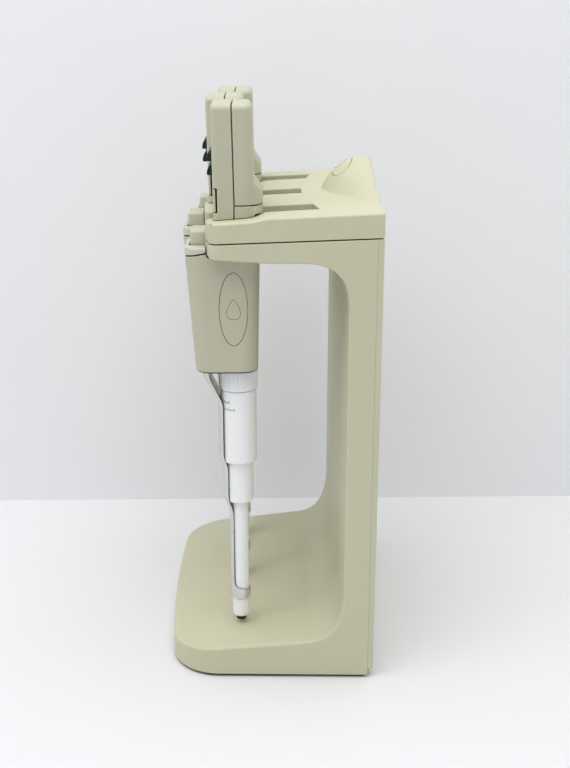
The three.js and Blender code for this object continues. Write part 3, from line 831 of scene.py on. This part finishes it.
def rounded_ring(y0, y1, half, front_radius, rear_radius, height, steps=10):
    """A rectangle with rounded corners; height is a number or a function of y."""
    corners = (
        (half - rear_radius, y1 - rear_radius, rear_radius, 0),
        (-half + rear_radius, y1 - rear_radius, rear_radius, 1),
        (-half + front_radius, y0 + front_radius, front_radius, 2),
        (half - front_radius, y0 + front_radius, front_radius, 3),
    )
    ring = []
    for cx, cy, radius, quarter in corners:
        for i in range(steps + 1):
            angle = (quarter + i / steps) * math.pi / 2
            y = cy + radius * math.sin(angle)
            z = height(y) if callable(height) else height
            ring.append((cx + radius * math.cos(angle), y, z))
    return ring


def handle_sides(z):
    """Front, rear and half width of the handle at a height; it narrows downwards."""
    drawn = 1 - (z - HANDLE_LOW.z) / (HANDLE_HIGH.z - HANDLE_LOW.z)
    return (
        HANDLE_LOW.y + HANDLE["front_draw"] * drawn,
        HANDLE_HIGH.y - HANDLE["rear_draw"] * drawn,
        HANDLE_HIGH.x - HANDLE["side_draw"] * drawn,
    )


def handle_ring(z, inset):
    front, rear, half = handle_sides(z)
    return rounded_ring(
        front + inset,
        rear - inset,
        half - inset,
        HANDLE["front"] - inset,
        HANDLE["rear"] - inset,
        z,
    )


def rim_height(y):
    """The handle's front edge climbs a little towards the rear."""
    return HANDLE_HIGH.z - 0.9 + RIM_SLOPE * (y - HANDLE_LOW.y)


def handle_wall(y, z):
    """Half the handle's width at a point of its side, the rounded rear included."""
    _, rear, half = handle_sides(z)
    radius = HANDLE["rear"]
    into = y - (rear - radius)
    drawn = radius - math.sqrt(radius**2 - into**2) if into > 0 else 0.0
    return half - drawn


def side_groove(points, side, radius):
    """A wire on one side wall of the handle, from (y, z) points."""
    wire = [(side * handle_wall(y, z), y, z) for y, z in points]
    groove = tube(wire, radius, (1, 0, 0))
    return dress(groove, LINE)


def clear_arms(thing, side):
    """Keeps a piece in front of the tips of the arms it hangs between."""
    side_reach, step, clearance = 84, 6, 0.5
    above = 222.6  # about the height of the arms' undersides
    tips = [
        (x, tip_line(x) - clearance) for x in range(-side_reach, side_reach + 1, step)
    ]
    tool = column([*tips, (side_reach, 40), (-side_reach, 40)], above, 260)
    tool.data.transform(PLACES[side].inverted())
    dress(tool, SHELL)
    cut(thing, tool)
    smooth(thing)


def button_well(rear, low, high):
    """The room that the button needs, back to the rear given and between two heights."""
    side = BUTTON_HIGH.x + FIT_GAP
    return block((-side, BUTTON_LOW.y - FIT_GAP, low), (side, rear, high))


def handle_shell():
    bottom = HANDLE_LOW.z
    round_bottom = 1.4
    rings = []
    for i in range(6):
        angle = math.pi / 2 * i / 5
        inset = round_bottom * (1 - math.sin(angle))
        rings.append(handle_ring(bottom + round_bottom * (1 - math.cos(angle)), inset))
    top = [(x, y, rim_height(y)) for x, y, _ in handle_ring(HANDLE_HIGH.z, 0)]
    shoulder = HANDLE_HIGH.z - SHOULDER
    shell = stack([*rings, handle_ring(shoulder - 4, 0), top])
    hollow = stack([
        handle_ring(bottom + SKIN, SKIN + 1),
        handle_ring(bottom + 5, SKIN),
        handle_ring(shoulder - SKIN, SKIN),
    ])
    step = block((-20, RIM_REAR, shoulder), (20, 20, HANDLE_HIGH.z + 10))
    neck = block(
        (-NECK["half"] - FIT_GAP, NECK["front"] - FIT_GAP, shoulder - 4),
        (NECK["half"] + FIT_GAP, NECK["rear"] + FIT_GAP, HANDLE_HIGH.z + 2),
    )
    well = button_well(BUTTON_HIGH.y + FIT_GAP, shoulder - 4, HANDLE_HIGH.z + 2.5)
    low, high = bottom - 1, bottom + 4
    socket = NOSE["spigot"] + 0.5
    spigot = turned([(0, low), (socket, low), (socket, high), (0, high)], 48)
    arm_slot = block((-8.2, -19.4, low), (8.2, -8, high))
    cut(shell, hollow, step, neck, well, spigot, arm_slot)
    dress(shell, SHELL)
    oval = [
        (OVAL["y"] + OVAL["half_y"] * cosine, OVAL["z"] + OVAL["half_z"] * sine)
        for cosine, sine in circle(72)
    ]
    drop = [(OVAL["y"] + across, OVAL["z"] + up) for across, up in drop_outline(10.0)]

    def rule(middle):
        on_rim = middle.z > shoulder - 0.5 or middle.z < bottom + 0.5
        return 1.0 if on_rim else 0.0

    soften(shell, 0.35, 2, rule)
    for side in (-1, 1):
        cut(shell, side_groove(oval, side, 0.24), side_groove(drop, side, 0.17))
    # Painted shadow: the lowest rim of the handle takes the black material, for the dark line
    # where the handle meets the nut.
    shell.data.materials.append(BLACK)
    shadow_line = len(shell.data.materials) - 1
    for face in shell.data.polygons:
        if face.center.z / MM < bottom + 0.8:
            face.material_index = shadow_line
    return hang(
        shell, "handle", SHELL, "pipette", "handle_shell", clear_arms
    )


def shoulder_trim():
    def ring(inset, lift=None, top=None):
        height = top if lift is None else lambda y: rim_height(y) + lift
        front_corner = HANDLE["front"] - inset
        return rounded_ring(
            TRIM_LOW.y + inset, RIM_REAR, TRIM_HIGH.x - inset, front_corner, 1.0, height
        )

    top = TRIM_HIGH.z
    band = stack([
        ring(0.3, lift=RIM_GAP),
        ring(0.0, lift=RIM_GAP + 0.3),
        ring(0.0, top=top - 1.0),
        ring(0.12, top=top - 0.6),
        ring(0.4, top=top - 0.25),
        ring(0.9, top=top),
    ])
    cut(band, button_well(RIM_REAR + 1, TRIM_LOW.z - 3, TRIM_HIGH.z + 1))

    def fit(thing, side):
        clear_arms(thing, side)
        soften(thing, 0.25, 2)

    return hang(band, "trim", PALE, "pipette", "shoulder_trim", fit)


def ejector_button():
    cap = block(BUTTON_LOW, BUTTON_HIGH)

    def rule(middle):
        if middle.z > BUTTON_HIGH.z - 0.5:
            return 0.55
        upright = middle.z > BUTTON_LOW.z + 1
        return 1.0 if upright and middle.y < BUTTON_LOW.y + 1 else 0.3

    soften(cap, 2.4, 6, rule)
    return hang(cap, "eject_button", PALE, "ejector", "ejector_button")


def disc_ring(radius, forward, z, steps=64):
    return [(radius * cosine, radius * sine - forward, z) for cosine, sine in circle(steps)]


ARM_LOW, ARM_HIGH = local_box("ejector_arm")
ARM_RING = 5.35
ARM_PATH = (
    # height, outer radius, how far its centre stands forward of the nose's axis, edge y
    (0.0, ARM_RING, 0.0, -3.3),
    (NOSE["low_top"] - 6, ARM_RING, 0.0, -3.3),
    (NOSE["low_top"] + 2, 8.2, 0.0, -5.7),
    (NOSE["middle_top"] - 2, 8.2, 0.0, -5.7),
    (NOSE["middle_top"] + 3.5, 10.3, 0.0, -7.8),
    (BARREL_HIGH.z - 22.4, 10.3, 0.0, -7.8),
    (BARREL_HIGH.z - 8.4, 10.3, 7.6, -14.6),
    (ARM_HIGH.z, 10.3, 7.6, -14.6),
)


def eased_path(rows, reach=2.2, steps=4):
    """Rounds the bends of a path given by rows of numbers, the first being the height."""
    path = [rows[0]]
    for before, here, after in zip(rows, rows[1:], rows[2:]):
        start = mixed(here, before, reach)
        end = mixed(here, after, reach)
        path.append(start)
        path.extend(curve(start, here, end, steps))
    path.append(rows[-1])
    return path


def mixed(row, other, reach):
    share = min(0.45, reach / abs(other[0] - row[0]))
    return tuple(a + (b - a) * share for a, b in zip(row, other))


def ejector_arm():
    """A channel bent from strip. It follows the steps of the nose and ends in a ring."""
    thick = 0.65
    path = eased_path(ARM_PATH)
    bottom = ARM_LOW.z
    path[0] = (bottom, *path[0][1:])
    outer = stack([disc_ring(r, c, z) for z, r, c, _ in path])
    inner_rows = [(z, r - thick, c) for z, r, c, _ in path]
    inner_rows[0] = (bottom - 1, *inner_rows[0][1:])
    inner_rows[-1] = (inner_rows[-1][0] + 1, *inner_rows[-1][1:])
    inner = stack([disc_ring(r, c, z) for z, r, c in inner_rows])
    ring_top = bottom + 5.9
    fillet = 4.3
    edge = [(y, z) for z, _, _, y in reversed(path) if z > ring_top + fillet]
    low_edge = path[0][3]
    start = (low_edge, ring_top + fillet)
    far = 40
    outline = [
        (edge[0][0], edge[0][1] + 5),
        *edge,
        start,
        *curve(start, (low_edge, ring_top), (low_edge + fillet, ring_top), 10),
        (ARM_RING, ring_top - 1.7),
        (far, ring_top - 1.7),
        (far, edge[0][1] + 5),
    ]
    arm = cut(outer, inner, sideways(outline, -far, far))
    soften(arm, 0.14, 2)
    return hang(arm, "eject_arm", STEEL, "ejector", "ejector_arm")


def ejector_spring():
    low, high = local_box("ejector_spring")
    wire = 0.4
    radius = (high.x - low.x) / 2 - wire
    middle = (low + high) / 2
    turns = 5
    steps = 24 * turns
    line = [
        (
            radius * math.cos(2 * math.pi * turns * i / steps),
            middle.y + radius * math.sin(2 * math.pi * turns * i / steps),
            low.z + wire + (high.z - low.z - 2 * wire) * i / steps,
        )
        for i in range(steps + 1)
    ]
    rings = []
    for i, here in enumerate(line):
        angle = 2 * math.pi * turns * i / steps
        out = Vector((math.cos(angle), math.sin(angle), 0))
        rings.append([
            Vector(here) + wire * (cosine * out + sine * Vector((0, 0, 1)))
            for cosine, sine in circle(10)
        ])
    coil = stack(rings)
    smooth(coil)
    copies = hang(coil, "eject_spring", STEEL, "pipette", "ejector_spring")
    for side, twin in zip(SIDES, copies):
        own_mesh(twin)
    return copies


def head_bottom(y):
    return deck_top(y + NOSE_Y) - HANG + 0.15


def deck_room():
    """What the deck fills under a head, its small step included."""
    step = DECK["step_front"] - NOSE_Y
    line = [(step + i, head_bottom(step + i)) for i in range(8, -1, -1)]
    far = BLOCK_FAR
    line = [(far, head_bottom(far)), *line, (-far, head_bottom(-far))]
    return sideways([(far, 150), *line, (-far, 150)], -far, far)


def head_ring(z, inset, roll=0.0):
    """A level of the head. roll draws in the rear and sides, and the front a little."""
    bulge = 1 - smoothstep(HEAD["bulge_full"], HEAD["bulge_top"], z)
    rear = HEAD["rear"] + (PACK_HIGH.y - HEAD["rear"]) * bulge
    rear_corner = HEAD["corner"] + (HEAD["bulge_corner"] - HEAD["corner"]) * bulge
    return rounded_ring(
        HEAD_FACE + inset + 0.35 * roll,
        rear - inset - roll,
        SHELL_HIGH.x - inset - roll,
        max(HEAD["front_corner"] - inset - 0.35 * roll, 0.5),
        max(rear_corner - inset - roll, 0.5),
        z,
    )


def head_solid(inset=0.0):
    """The whole head, before it is split into shells."""
    top = SHELL_HIGH.z - inset
    rings = [head_ring(HEAD["pack_seam"] - (3 if inset else 9), inset)]
    start = HEAD["pack_seam"]
    levels = 26
    for i in range(levels + 1):
        rings.append(head_ring(start + (top - HEAD["top_round"] - start) * i / levels, inset))
    for i in range(1, 9):
        angle = math.pi / 2 * i / 8
        roll = HEAD["top_round"] * (1 - math.cos(angle))
        z = top - HEAD["top_round"] * (1 - math.sin(angle))
        rings.append(head_ring(z, inset, roll=roll))
    return stack(rings)


def set_head(thing, side):
    """Moves and leans a finished piece of the head the way that pipette's head sits."""
    back, lean = HEAD_SET[side]
    for vertex in thing.data.vertices:
        rise = vertex.co.z / MM - HEAD["pack_seam"]
        vertex.co.y += (back * smoothstep(-8, -4, rise) - lean * max(0.0, rise)) * MM


TRIGGER_LOW, TRIGGER_HIGH = local_box("trigger_key")
TRIGGER_REAR = -9.25
KEYS = [local_box("key_lower"), local_box("key_upper")]
WINDOW = {"low": 255.5, "high": 269.0, "half": 13.5}
WALL = {"half": 16.5, "front": -8.9, "rear": -7.0, "margin": 1.6}  # behind the trigger
CONTACT = {"across": 14.5, "half": 2.6, "front": 9.0, "rear": 11.2, "under": 1.0, "over": 0.9}
CELL = {"half": 13, "rear": 6, "top": 258}  # the dark block in the head, above the pack


def slab(y0, y1, z0=100.0, z1=400.0):
    return block((-BLOCK_FAR, y0, z0), (BLOCK_FAR, y1, z1))


def face_hole(low, high, side_gap, end_gap):
    """Right through the head's front wall, a little larger than the piece between two corners."""
    before, behind = -30, -7.5
    return block(
        (low.x - side_gap, before, low.z - end_gap),
        (high.x + side_gap, behind, high.z + end_gap),
    )


def head_front():
    shell = head_solid()
    combine(shell, slab(-BLOCK_FAR, HEAD["split"] - SEAM_HALF), "INTERSECT")
    cut(shell, head_solid(SKIN), deck_room())
    dress(shell, SHELL)
    plate = block(
        (-WALL["half"], WALL["front"], TRIGGER_LOW.z - WALL["margin"]),
        (WALL["half"], WALL["rear"], TRIGGER_HIGH.z + WALL["margin"]),
    )
    combine(shell, plate, "UNION")
    # The walls of the notch round the trigger take the black material: painted shade in the gap.
    notch = slab(-BLOCK_FAR, TRIGGER_REAR + 1.0, TRIGGER_LOW.z + 0.1, TRIGGER_HIGH.z + 0.4)
    dress(notch, BLACK)
    cut(shell, notch)
    for low, high in KEYS:
        cut(shell, face_hole(low, high, 0.4, 0.35))
    window_low = Vector((-WINDOW["half"], 0, WINDOW["low"]))
    window_high = Vector((WINDOW["half"], 0, WINDOW["high"]))
    cut(shell, face_hole(window_low, window_high, 0.4, 0.4))
    low = head_bottom(0)
    neck = block(
        (-NECK["half"], NECK["front"], NECK["bottom"]), (NECK["half"], NECK["rear"], low + 2)
    )
    soften(neck, 1.2, 3)
    combine(neck, slab(HEAD["split"] - SEAM_HALF, BLOCK_FAR, low - 0.8), "DIFFERENCE")
    dress(neck, SHELL)
    combine(shell, neck, "UNION")

    def rule(middle):
        in_neck = abs(middle.x) < NECK["half"] + 0.5 and middle.z < low + 3
        return 0.0 if in_neck else 1.0

    soften(shell, 0.25, 2, rule)
    return hang(
        shell, "head_front", SHELL, "pipette", "head_front_shell", set_head
    )


def head_rear():
    shell = head_solid()
    half = slab(HEAD["split"] + SEAM_HALF, BLOCK_FAR, HEAD["pack_seam"] + SEAM_HALF)
    combine(shell, half, "INTERSECT")
    cut(shell, head_solid(SKIN))
    soften(shell, 0.35, 2)
    return hang(
        shell, "head_rear", SHELL, "pipette", "head_rear_shell", set_head
    )


def battery_pack():
    pack = head_solid()
    below = slab(HEAD["split"] + SEAM_HALF, BLOCK_FAR, 150, HEAD["pack_seam"] - SEAM_HALF)
    combine(pack, below, "INTERSECT")
    neck = block((-NECK["half"] - 0.5, -6, 150), (NECK["half"] + 0.5, NECK["rear"] + 0.5, 240))
    cut(pack, deck_room(), neck)
    dress(pack, SHELL)
    underside = head_bottom(CONTACT["front"] + 0.5)
    for side in (-1, 1):
        middle = side * CONTACT["across"]
        contact = block(
            (middle - CONTACT["half"], CONTACT["front"], underside - CONTACT["under"]),
            (middle + CONTACT["half"], CONTACT["rear"], underside + CONTACT["over"]),
        )
        dress(contact, BLACK)
        cut(pack, contact)
    cell = block(
        (-CELL["half"], HEAD["split"] + 1, HEAD["pack_seam"] - 1),
        (CELL["half"], CELL["rear"], CELL["top"]),
    )
    dress(cell, BLACK)
    combine(pack, cell, "UNION")
    soften(pack, 0.3, 2, lambda middle: 1.0 if abs(middle.x) > 16 or middle.y > 9.3 else 0.0)
    return hang(
        pack, "battery_block", SHELL, "pipette", "battery_pack", set_head
    )


def trigger_key():
    key = head_solid()
    low = TRIGGER_LOW.z + 0.5
    combine(key, slab(-BLOCK_FAR, TRIGGER_REAR, low, TRIGGER_HIGH.z), "INTERSECT")
    cut(key, block((-16.2, -9.7, 150), (16.2, 0, 260)))
    soften(key, 0.3, 3)
    return hang(key, "trigger", SHELL, "trigger", "trigger_key", set_head)


def wedge_key(low, high, name, node):
    """Nearly flush with the head at the top and proud at the bottom, with a rounded front."""
    proud = low.y
    tall = high.z - low.z
    top = (HEAD_FACE - 0.1, high.z)
    chin = (proud, low.z + 0.9)
    outline = [
        (high.y, low.z),
        (high.y, high.z),
        top,
        *curve(top, (proud, low.z + 0.62 * tall), chin, 12),
        *curve(chin, (proud, low.z), (proud + 0.5, low.z), 4),
    ]
    key = sideways(outline, low.x, high.x)

    def rule(middle):
        return 1.0 if abs(middle.x) > high.x - 0.5 else 0.4

    soften(key, 0.7, 4, rule)
    return hang(key, name, GREEN, name, node, set_head)


def display():
    """A glossy dark plate just inside the head's face, with a grey panel sunk in it."""
    face = HEAD_FACE
    low, high = WINDOW["low"], WINDOW["high"]
    plate = block((-WINDOW["half"], face + 0.35, low), (WINDOW["half"], face + 1.9, high))
    dress(plate, GLASS)
    inner = WINDOW["half"] - 2.4
    panel = block((-inner, face - 1, low + 2), (inner, face + 0.5, high - 2))
    dress(panel, LCD)
    cut(plate, panel)
    soften(plate, 0.3, 2)
    board = block((-15, -5.7, 237), (15, -4.2, 270))
    dress(board, CIRCUIT)
    carrier = block((-12, face + 1.8, low + 1), (12, -5.6, high - 1))
    dress(carrier, BLACK)
    combine(plate, carrier, "UNION")
    combine(plate, board, "UNION")
    smooth(plate)
    return hang(
        plate, "display", GLASS, "pipette", "display_board", set_head
    )


def nose_nut():
    """A screwed ring with flutes round its rim."""
    count = 30
    flute = 0.3
    radius = NUT_HIGH.x
    bore = 8.7
    low, high = NUT_LOW.z, NUT_HIGH.z
    profile = [
        (bore, low),
        (radius - 0.9, low),
        (radius - 0.62, low + 0.3),
        (radius - 0.5, low + 1.0),
        (radius - 0.42, low + 1.3),
        (radius, high - 1.1),
        (radius - 0.15, high - 0.4),
        (radius - 0.6, high),
        (bore, high),
    ]
    ring = turned(profile, count * 12)
    for vertex in ring.data.vertices:
        x, y, z = vertex.co / MM
        reach = math.hypot(x, y)
        if reach > bore + 0.5 and low + 1.1 < z < high - 0.9:
            wave = max(0.0, math.cos(count * math.atan2(y, x))) ** 6
            scale = (reach - flute * wave) / reach
            vertex.co.x *= scale
            vertex.co.y *= scale
    smooth(ring)
    return hang(ring, "nut", WHITE, "nut", "nose_nut")


def shoulder_curve(outer, z, radius):
    """The rounded edge where the nose steps out to a wider radius at a height."""
    start = (outer - radius, z)
    return [start, *curve(start, (outer, z), (outer, z + radius), 5)]


def nose_barrel():
    """Three cylinders, one above the other, and a spigot that goes up into the handle."""
    high_top = NUT_LOW.z - 0.2
    edge = 1.3
    bore = 1.2
    profile = [
        (bore, NOSE["tip_start"] + 0.8),
        (NOSE["tip"] - 1.4, NOSE["tip_start"]),
        *curve((NOSE["tip"] - 1.4, NOSE["tip_start"]), (NOSE["tip"], NOSE["tip_start"]),
               (NOSE["tip"], NOSE["tip_start"] + 1.6), 6),
        (NOSE["low"], NOSE["low_top"]),
        *shoulder_curve(NOSE["middle"], NOSE["low_top"], edge),
        (NOSE["middle"], NOSE["middle_top"]),
        *shoulder_curve(NOSE["high"], NOSE["middle_top"] + 0.4, edge),
        (NOSE["high"], high_top - 0.4),
        (NOSE["high"] - 0.4, high_top),
        (NOSE["spigot"], high_top),
        (NOSE["spigot"], BARREL_HIGH.z),
        (NOSE["cylinder"], BARREL_HIGH.z),
        (NOSE["cylinder"], 72.0),
        (bore, 68.0),
    ]
    barrel = turned(profile, 96)
    dress(barrel, WHITE)
    smooth(barrel)
    return hang(barrel, "barrel", WHITE, "pipette", "nose_barrel")


def dark_nose_stub():
    """The dark stub at the end of the nose."""
    profile = [(1.0, 0.2), (2.3, 0.2), (2.6, 0.5), (2.6, 3.4), (1.0, 3.4)]
    stub = turned(profile, 48)
    smooth(stub)
    return hang(stub, "nose_stub", RUBBER, "pipette")


def print_marks():
    """Two short rows of printed strokes on the barrel, on both sides: a plain scale."""
    radius = NOSE["high"]
    ticks = None
    for side in (-1, 1):
        for z, tall, count in ((126.0, 1.5, 5), (122.4, 1.1, 9)):
            for i in range(count):
                start = -0.84 + 0.075 * i
                ring = []
                for angle, reach in (
                    (start, 0.03), (start + 0.035, 0.03), (start + 0.035, -0.1), (start, -0.1)
                ):
                    ring.append((side * (radius + reach) * math.cos(angle),
                                 (radius + reach) * math.sin(angle)))
                high = z + tall * (1.0 if i % 4 == 0 else 0.55)
                stroke = column(ring, z, high)
                dress(stroke, BLACK)
                ticks = join(ticks, stroke) if ticks else stroke
    return hang(ticks, "scale_ticks", BLACK, "pipette")


# ---------------------------------------------------------------- the CAD pieces that stay
def dress_frame():
    looks = {"charger_board": CIRCUIT, "power_jack": BLACK}
    for side in SIDES:
        looks[f"piston_{side}"] = STEEL
        looks[f"drive_motor_{side}"] = BLACK
    for node, look in looks.items():
        thing = frame["nodes"][node]
        thing.data.materials.clear()
        thing.data.materials.append(look)


# ---------------------------------------------------------------- stage, light and camera
def plain(name, color, roughness):
    made, _, surface = blank_material(name)
    surface.inputs["Base Color"].default_value = (*color, 1)
    surface.inputs["Roughness"].default_value = roughness
    surface.inputs["Specular IOR Level"].default_value = 0.15
    return made


def one_sided(look):
    """Lets a sheet vanish when it is seen from behind."""
    tree = look.node_tree
    surface = tree.nodes["Principled BSDF"]
    out = tree.nodes["Material Output"]
    side = tree.nodes.new("ShaderNodeNewGeometry")
    clear = tree.nodes.new("ShaderNodeBsdfTransparent")
    mix = tree.nodes.new("ShaderNodeMixShader")
    tree.links.new(side.outputs["Backfacing"], mix.inputs["Fac"])
    tree.links.new(surface.outputs["BSDF"], mix.inputs[1])
    tree.links.new(clear.outputs["BSDF"], mix.inputs[2])
    tree.links.new(mix.outputs["Shader"], out.inputs["Surface"])
    return look


def sheet(name, corners, look):
    mesh = bpy.data.meshes.new(name)
    mesh.from_pydata([Vector(c) * MM for c in corners], [], [(0, 1, 2, 3)])
    thing = bpy.data.objects.new(name, mesh)
    bpy.context.scene.collection.objects.link(thing)
    mesh.materials.append(look)
    return thing


WALL_GAP = 66.0  # between the wall and the left side of the stand


def stage():
    far = 4000
    floor = sheet(
        "floor", [(-far, -far, 0), (far, -far, 0), (far, far, 0), (-far, far, 0)],
        plain("floor_white", (0.775, 0.775, 0.785), 0.6),
    )
    x = -REAR_HALF - WALL_GAP
    wall = sheet(
        "wall", [(x, -far, 0), (x, far, 0), (x, far, 2500), (x, -far, 2500)],
        one_sided(plain("wall_pale", (0.87, 0.87, 0.89), 0.9)),
    )


def area_light(name, place, aim, size, power):
    data = bpy.data.lights.new(name, "AREA")
    data.size = size
    data.energy = power
    lamp = bpy.data.objects.new(name, data)
    bpy.context.scene.collection.objects.link(lamp)
    lamp.location = place
    lamp.rotation_euler = (Vector(aim) - Vector(place)).to_track_quat("-Z", "Y").to_euler()


ROOM = 0.45  # strength of the light that the room gives


def soft_room():
    """An even white room whose side behind the camera is dark in reflections."""
    world = bpy.data.worlds.new("soft_room")
    world.use_nodes = True
    tree = world.node_tree
    back = tree.nodes["Background"]
    back.inputs["Color"].default_value = (0.95, 0.97, 1.0, 1)
    place = tree.nodes.new("ShaderNodeTexCoord")
    parts = tree.nodes.new("ShaderNodeSeparateXYZ")
    tree.links.new(place.outputs["Generated"], parts.inputs["Vector"])
    dark = ramp(tree, parts.outputs["X"], 0.05, 0.5)
    rays = tree.nodes.new("ShaderNodeLightPath")
    both = tree.nodes.new("ShaderNodeMath")
    both.operation = "MULTIPLY"
    tree.links.new(dark, both.inputs[0])
    tree.links.new(rays.outputs["Is Glossy Ray"], both.inputs[1])
    strength = tree.nodes.new("ShaderNodeMapRange")
    tree.links.new(both.outputs[0], strength.inputs["Value"])
    strength.inputs["To Min"].default_value = ROOM
    strength.inputs["To Max"].default_value = 0.08
    tree.links.new(strength.outputs["Result"], back.inputs["Strength"])
    bpy.context.scene.world = world


def lights():
    soft_room()
    aim = (0, 0, 0.13)
    area_light("overhead", (0.35, -0.1, 1.3), aim, 1.3, 14.6)
    area_light("front_left", (0.45, -0.95, 0.95), aim, 0.5, 1.5)
    area_light("right_fill", (0.0, 0.95, 0.45), (-0.05, 0.25, 0.0), 0.5, 0.8)


def camera():
    """At the viewing angle of the photograph: the right-hand side, a little from above."""
    data = bpy.data.cameras.new("camera")
    data.lens = 52.2
    data.sensor_width = 36
    eye = bpy.data.objects.new("camera", data)
    bpy.context.scene.collection.objects.link(eye)
    eye.location = (0.5907, -0.0024, 0.3303)
    down, turn = math.radians(18.21), -0.0201
    forward = Vector((
        -math.cos(down) * math.cos(turn), -math.cos(down) * math.sin(turn), -math.sin(down)
    ))
    eye.rotation_mode = "QUATERNION"
    eye.rotation_quaternion = forward.to_track_quat("-Z", "Y")
    data.clip_start, data.clip_end = 0.01, 20
    bpy.context.scene.camera = eye


# ---------------------------------------------------------------- the whole set
stand_body()
top_cover()
badge()
rear_panel()
base_plate()
for row in ("front", "rear"):
    for side in ("left", "right"):
        foot(f"foot_{row}_{side}")
handle_shell()
shoulder_trim()
ejector_button()
ejector_arm()
ejector_spring()
head_front()
head_rear()
battery_pack()
trigger_key()
wedge_key(*KEYS[0], "key_lower", "key_lower")
wedge_key(*KEYS[1], "key_upper", "key_upper")
display()
nose_nut()
nose_barrel()
dark_nose_stub()
print_marks()
dress_frame()
stage()
lights()
camera()
bpy.context.scene.view_settings.view_transform = "Standard"
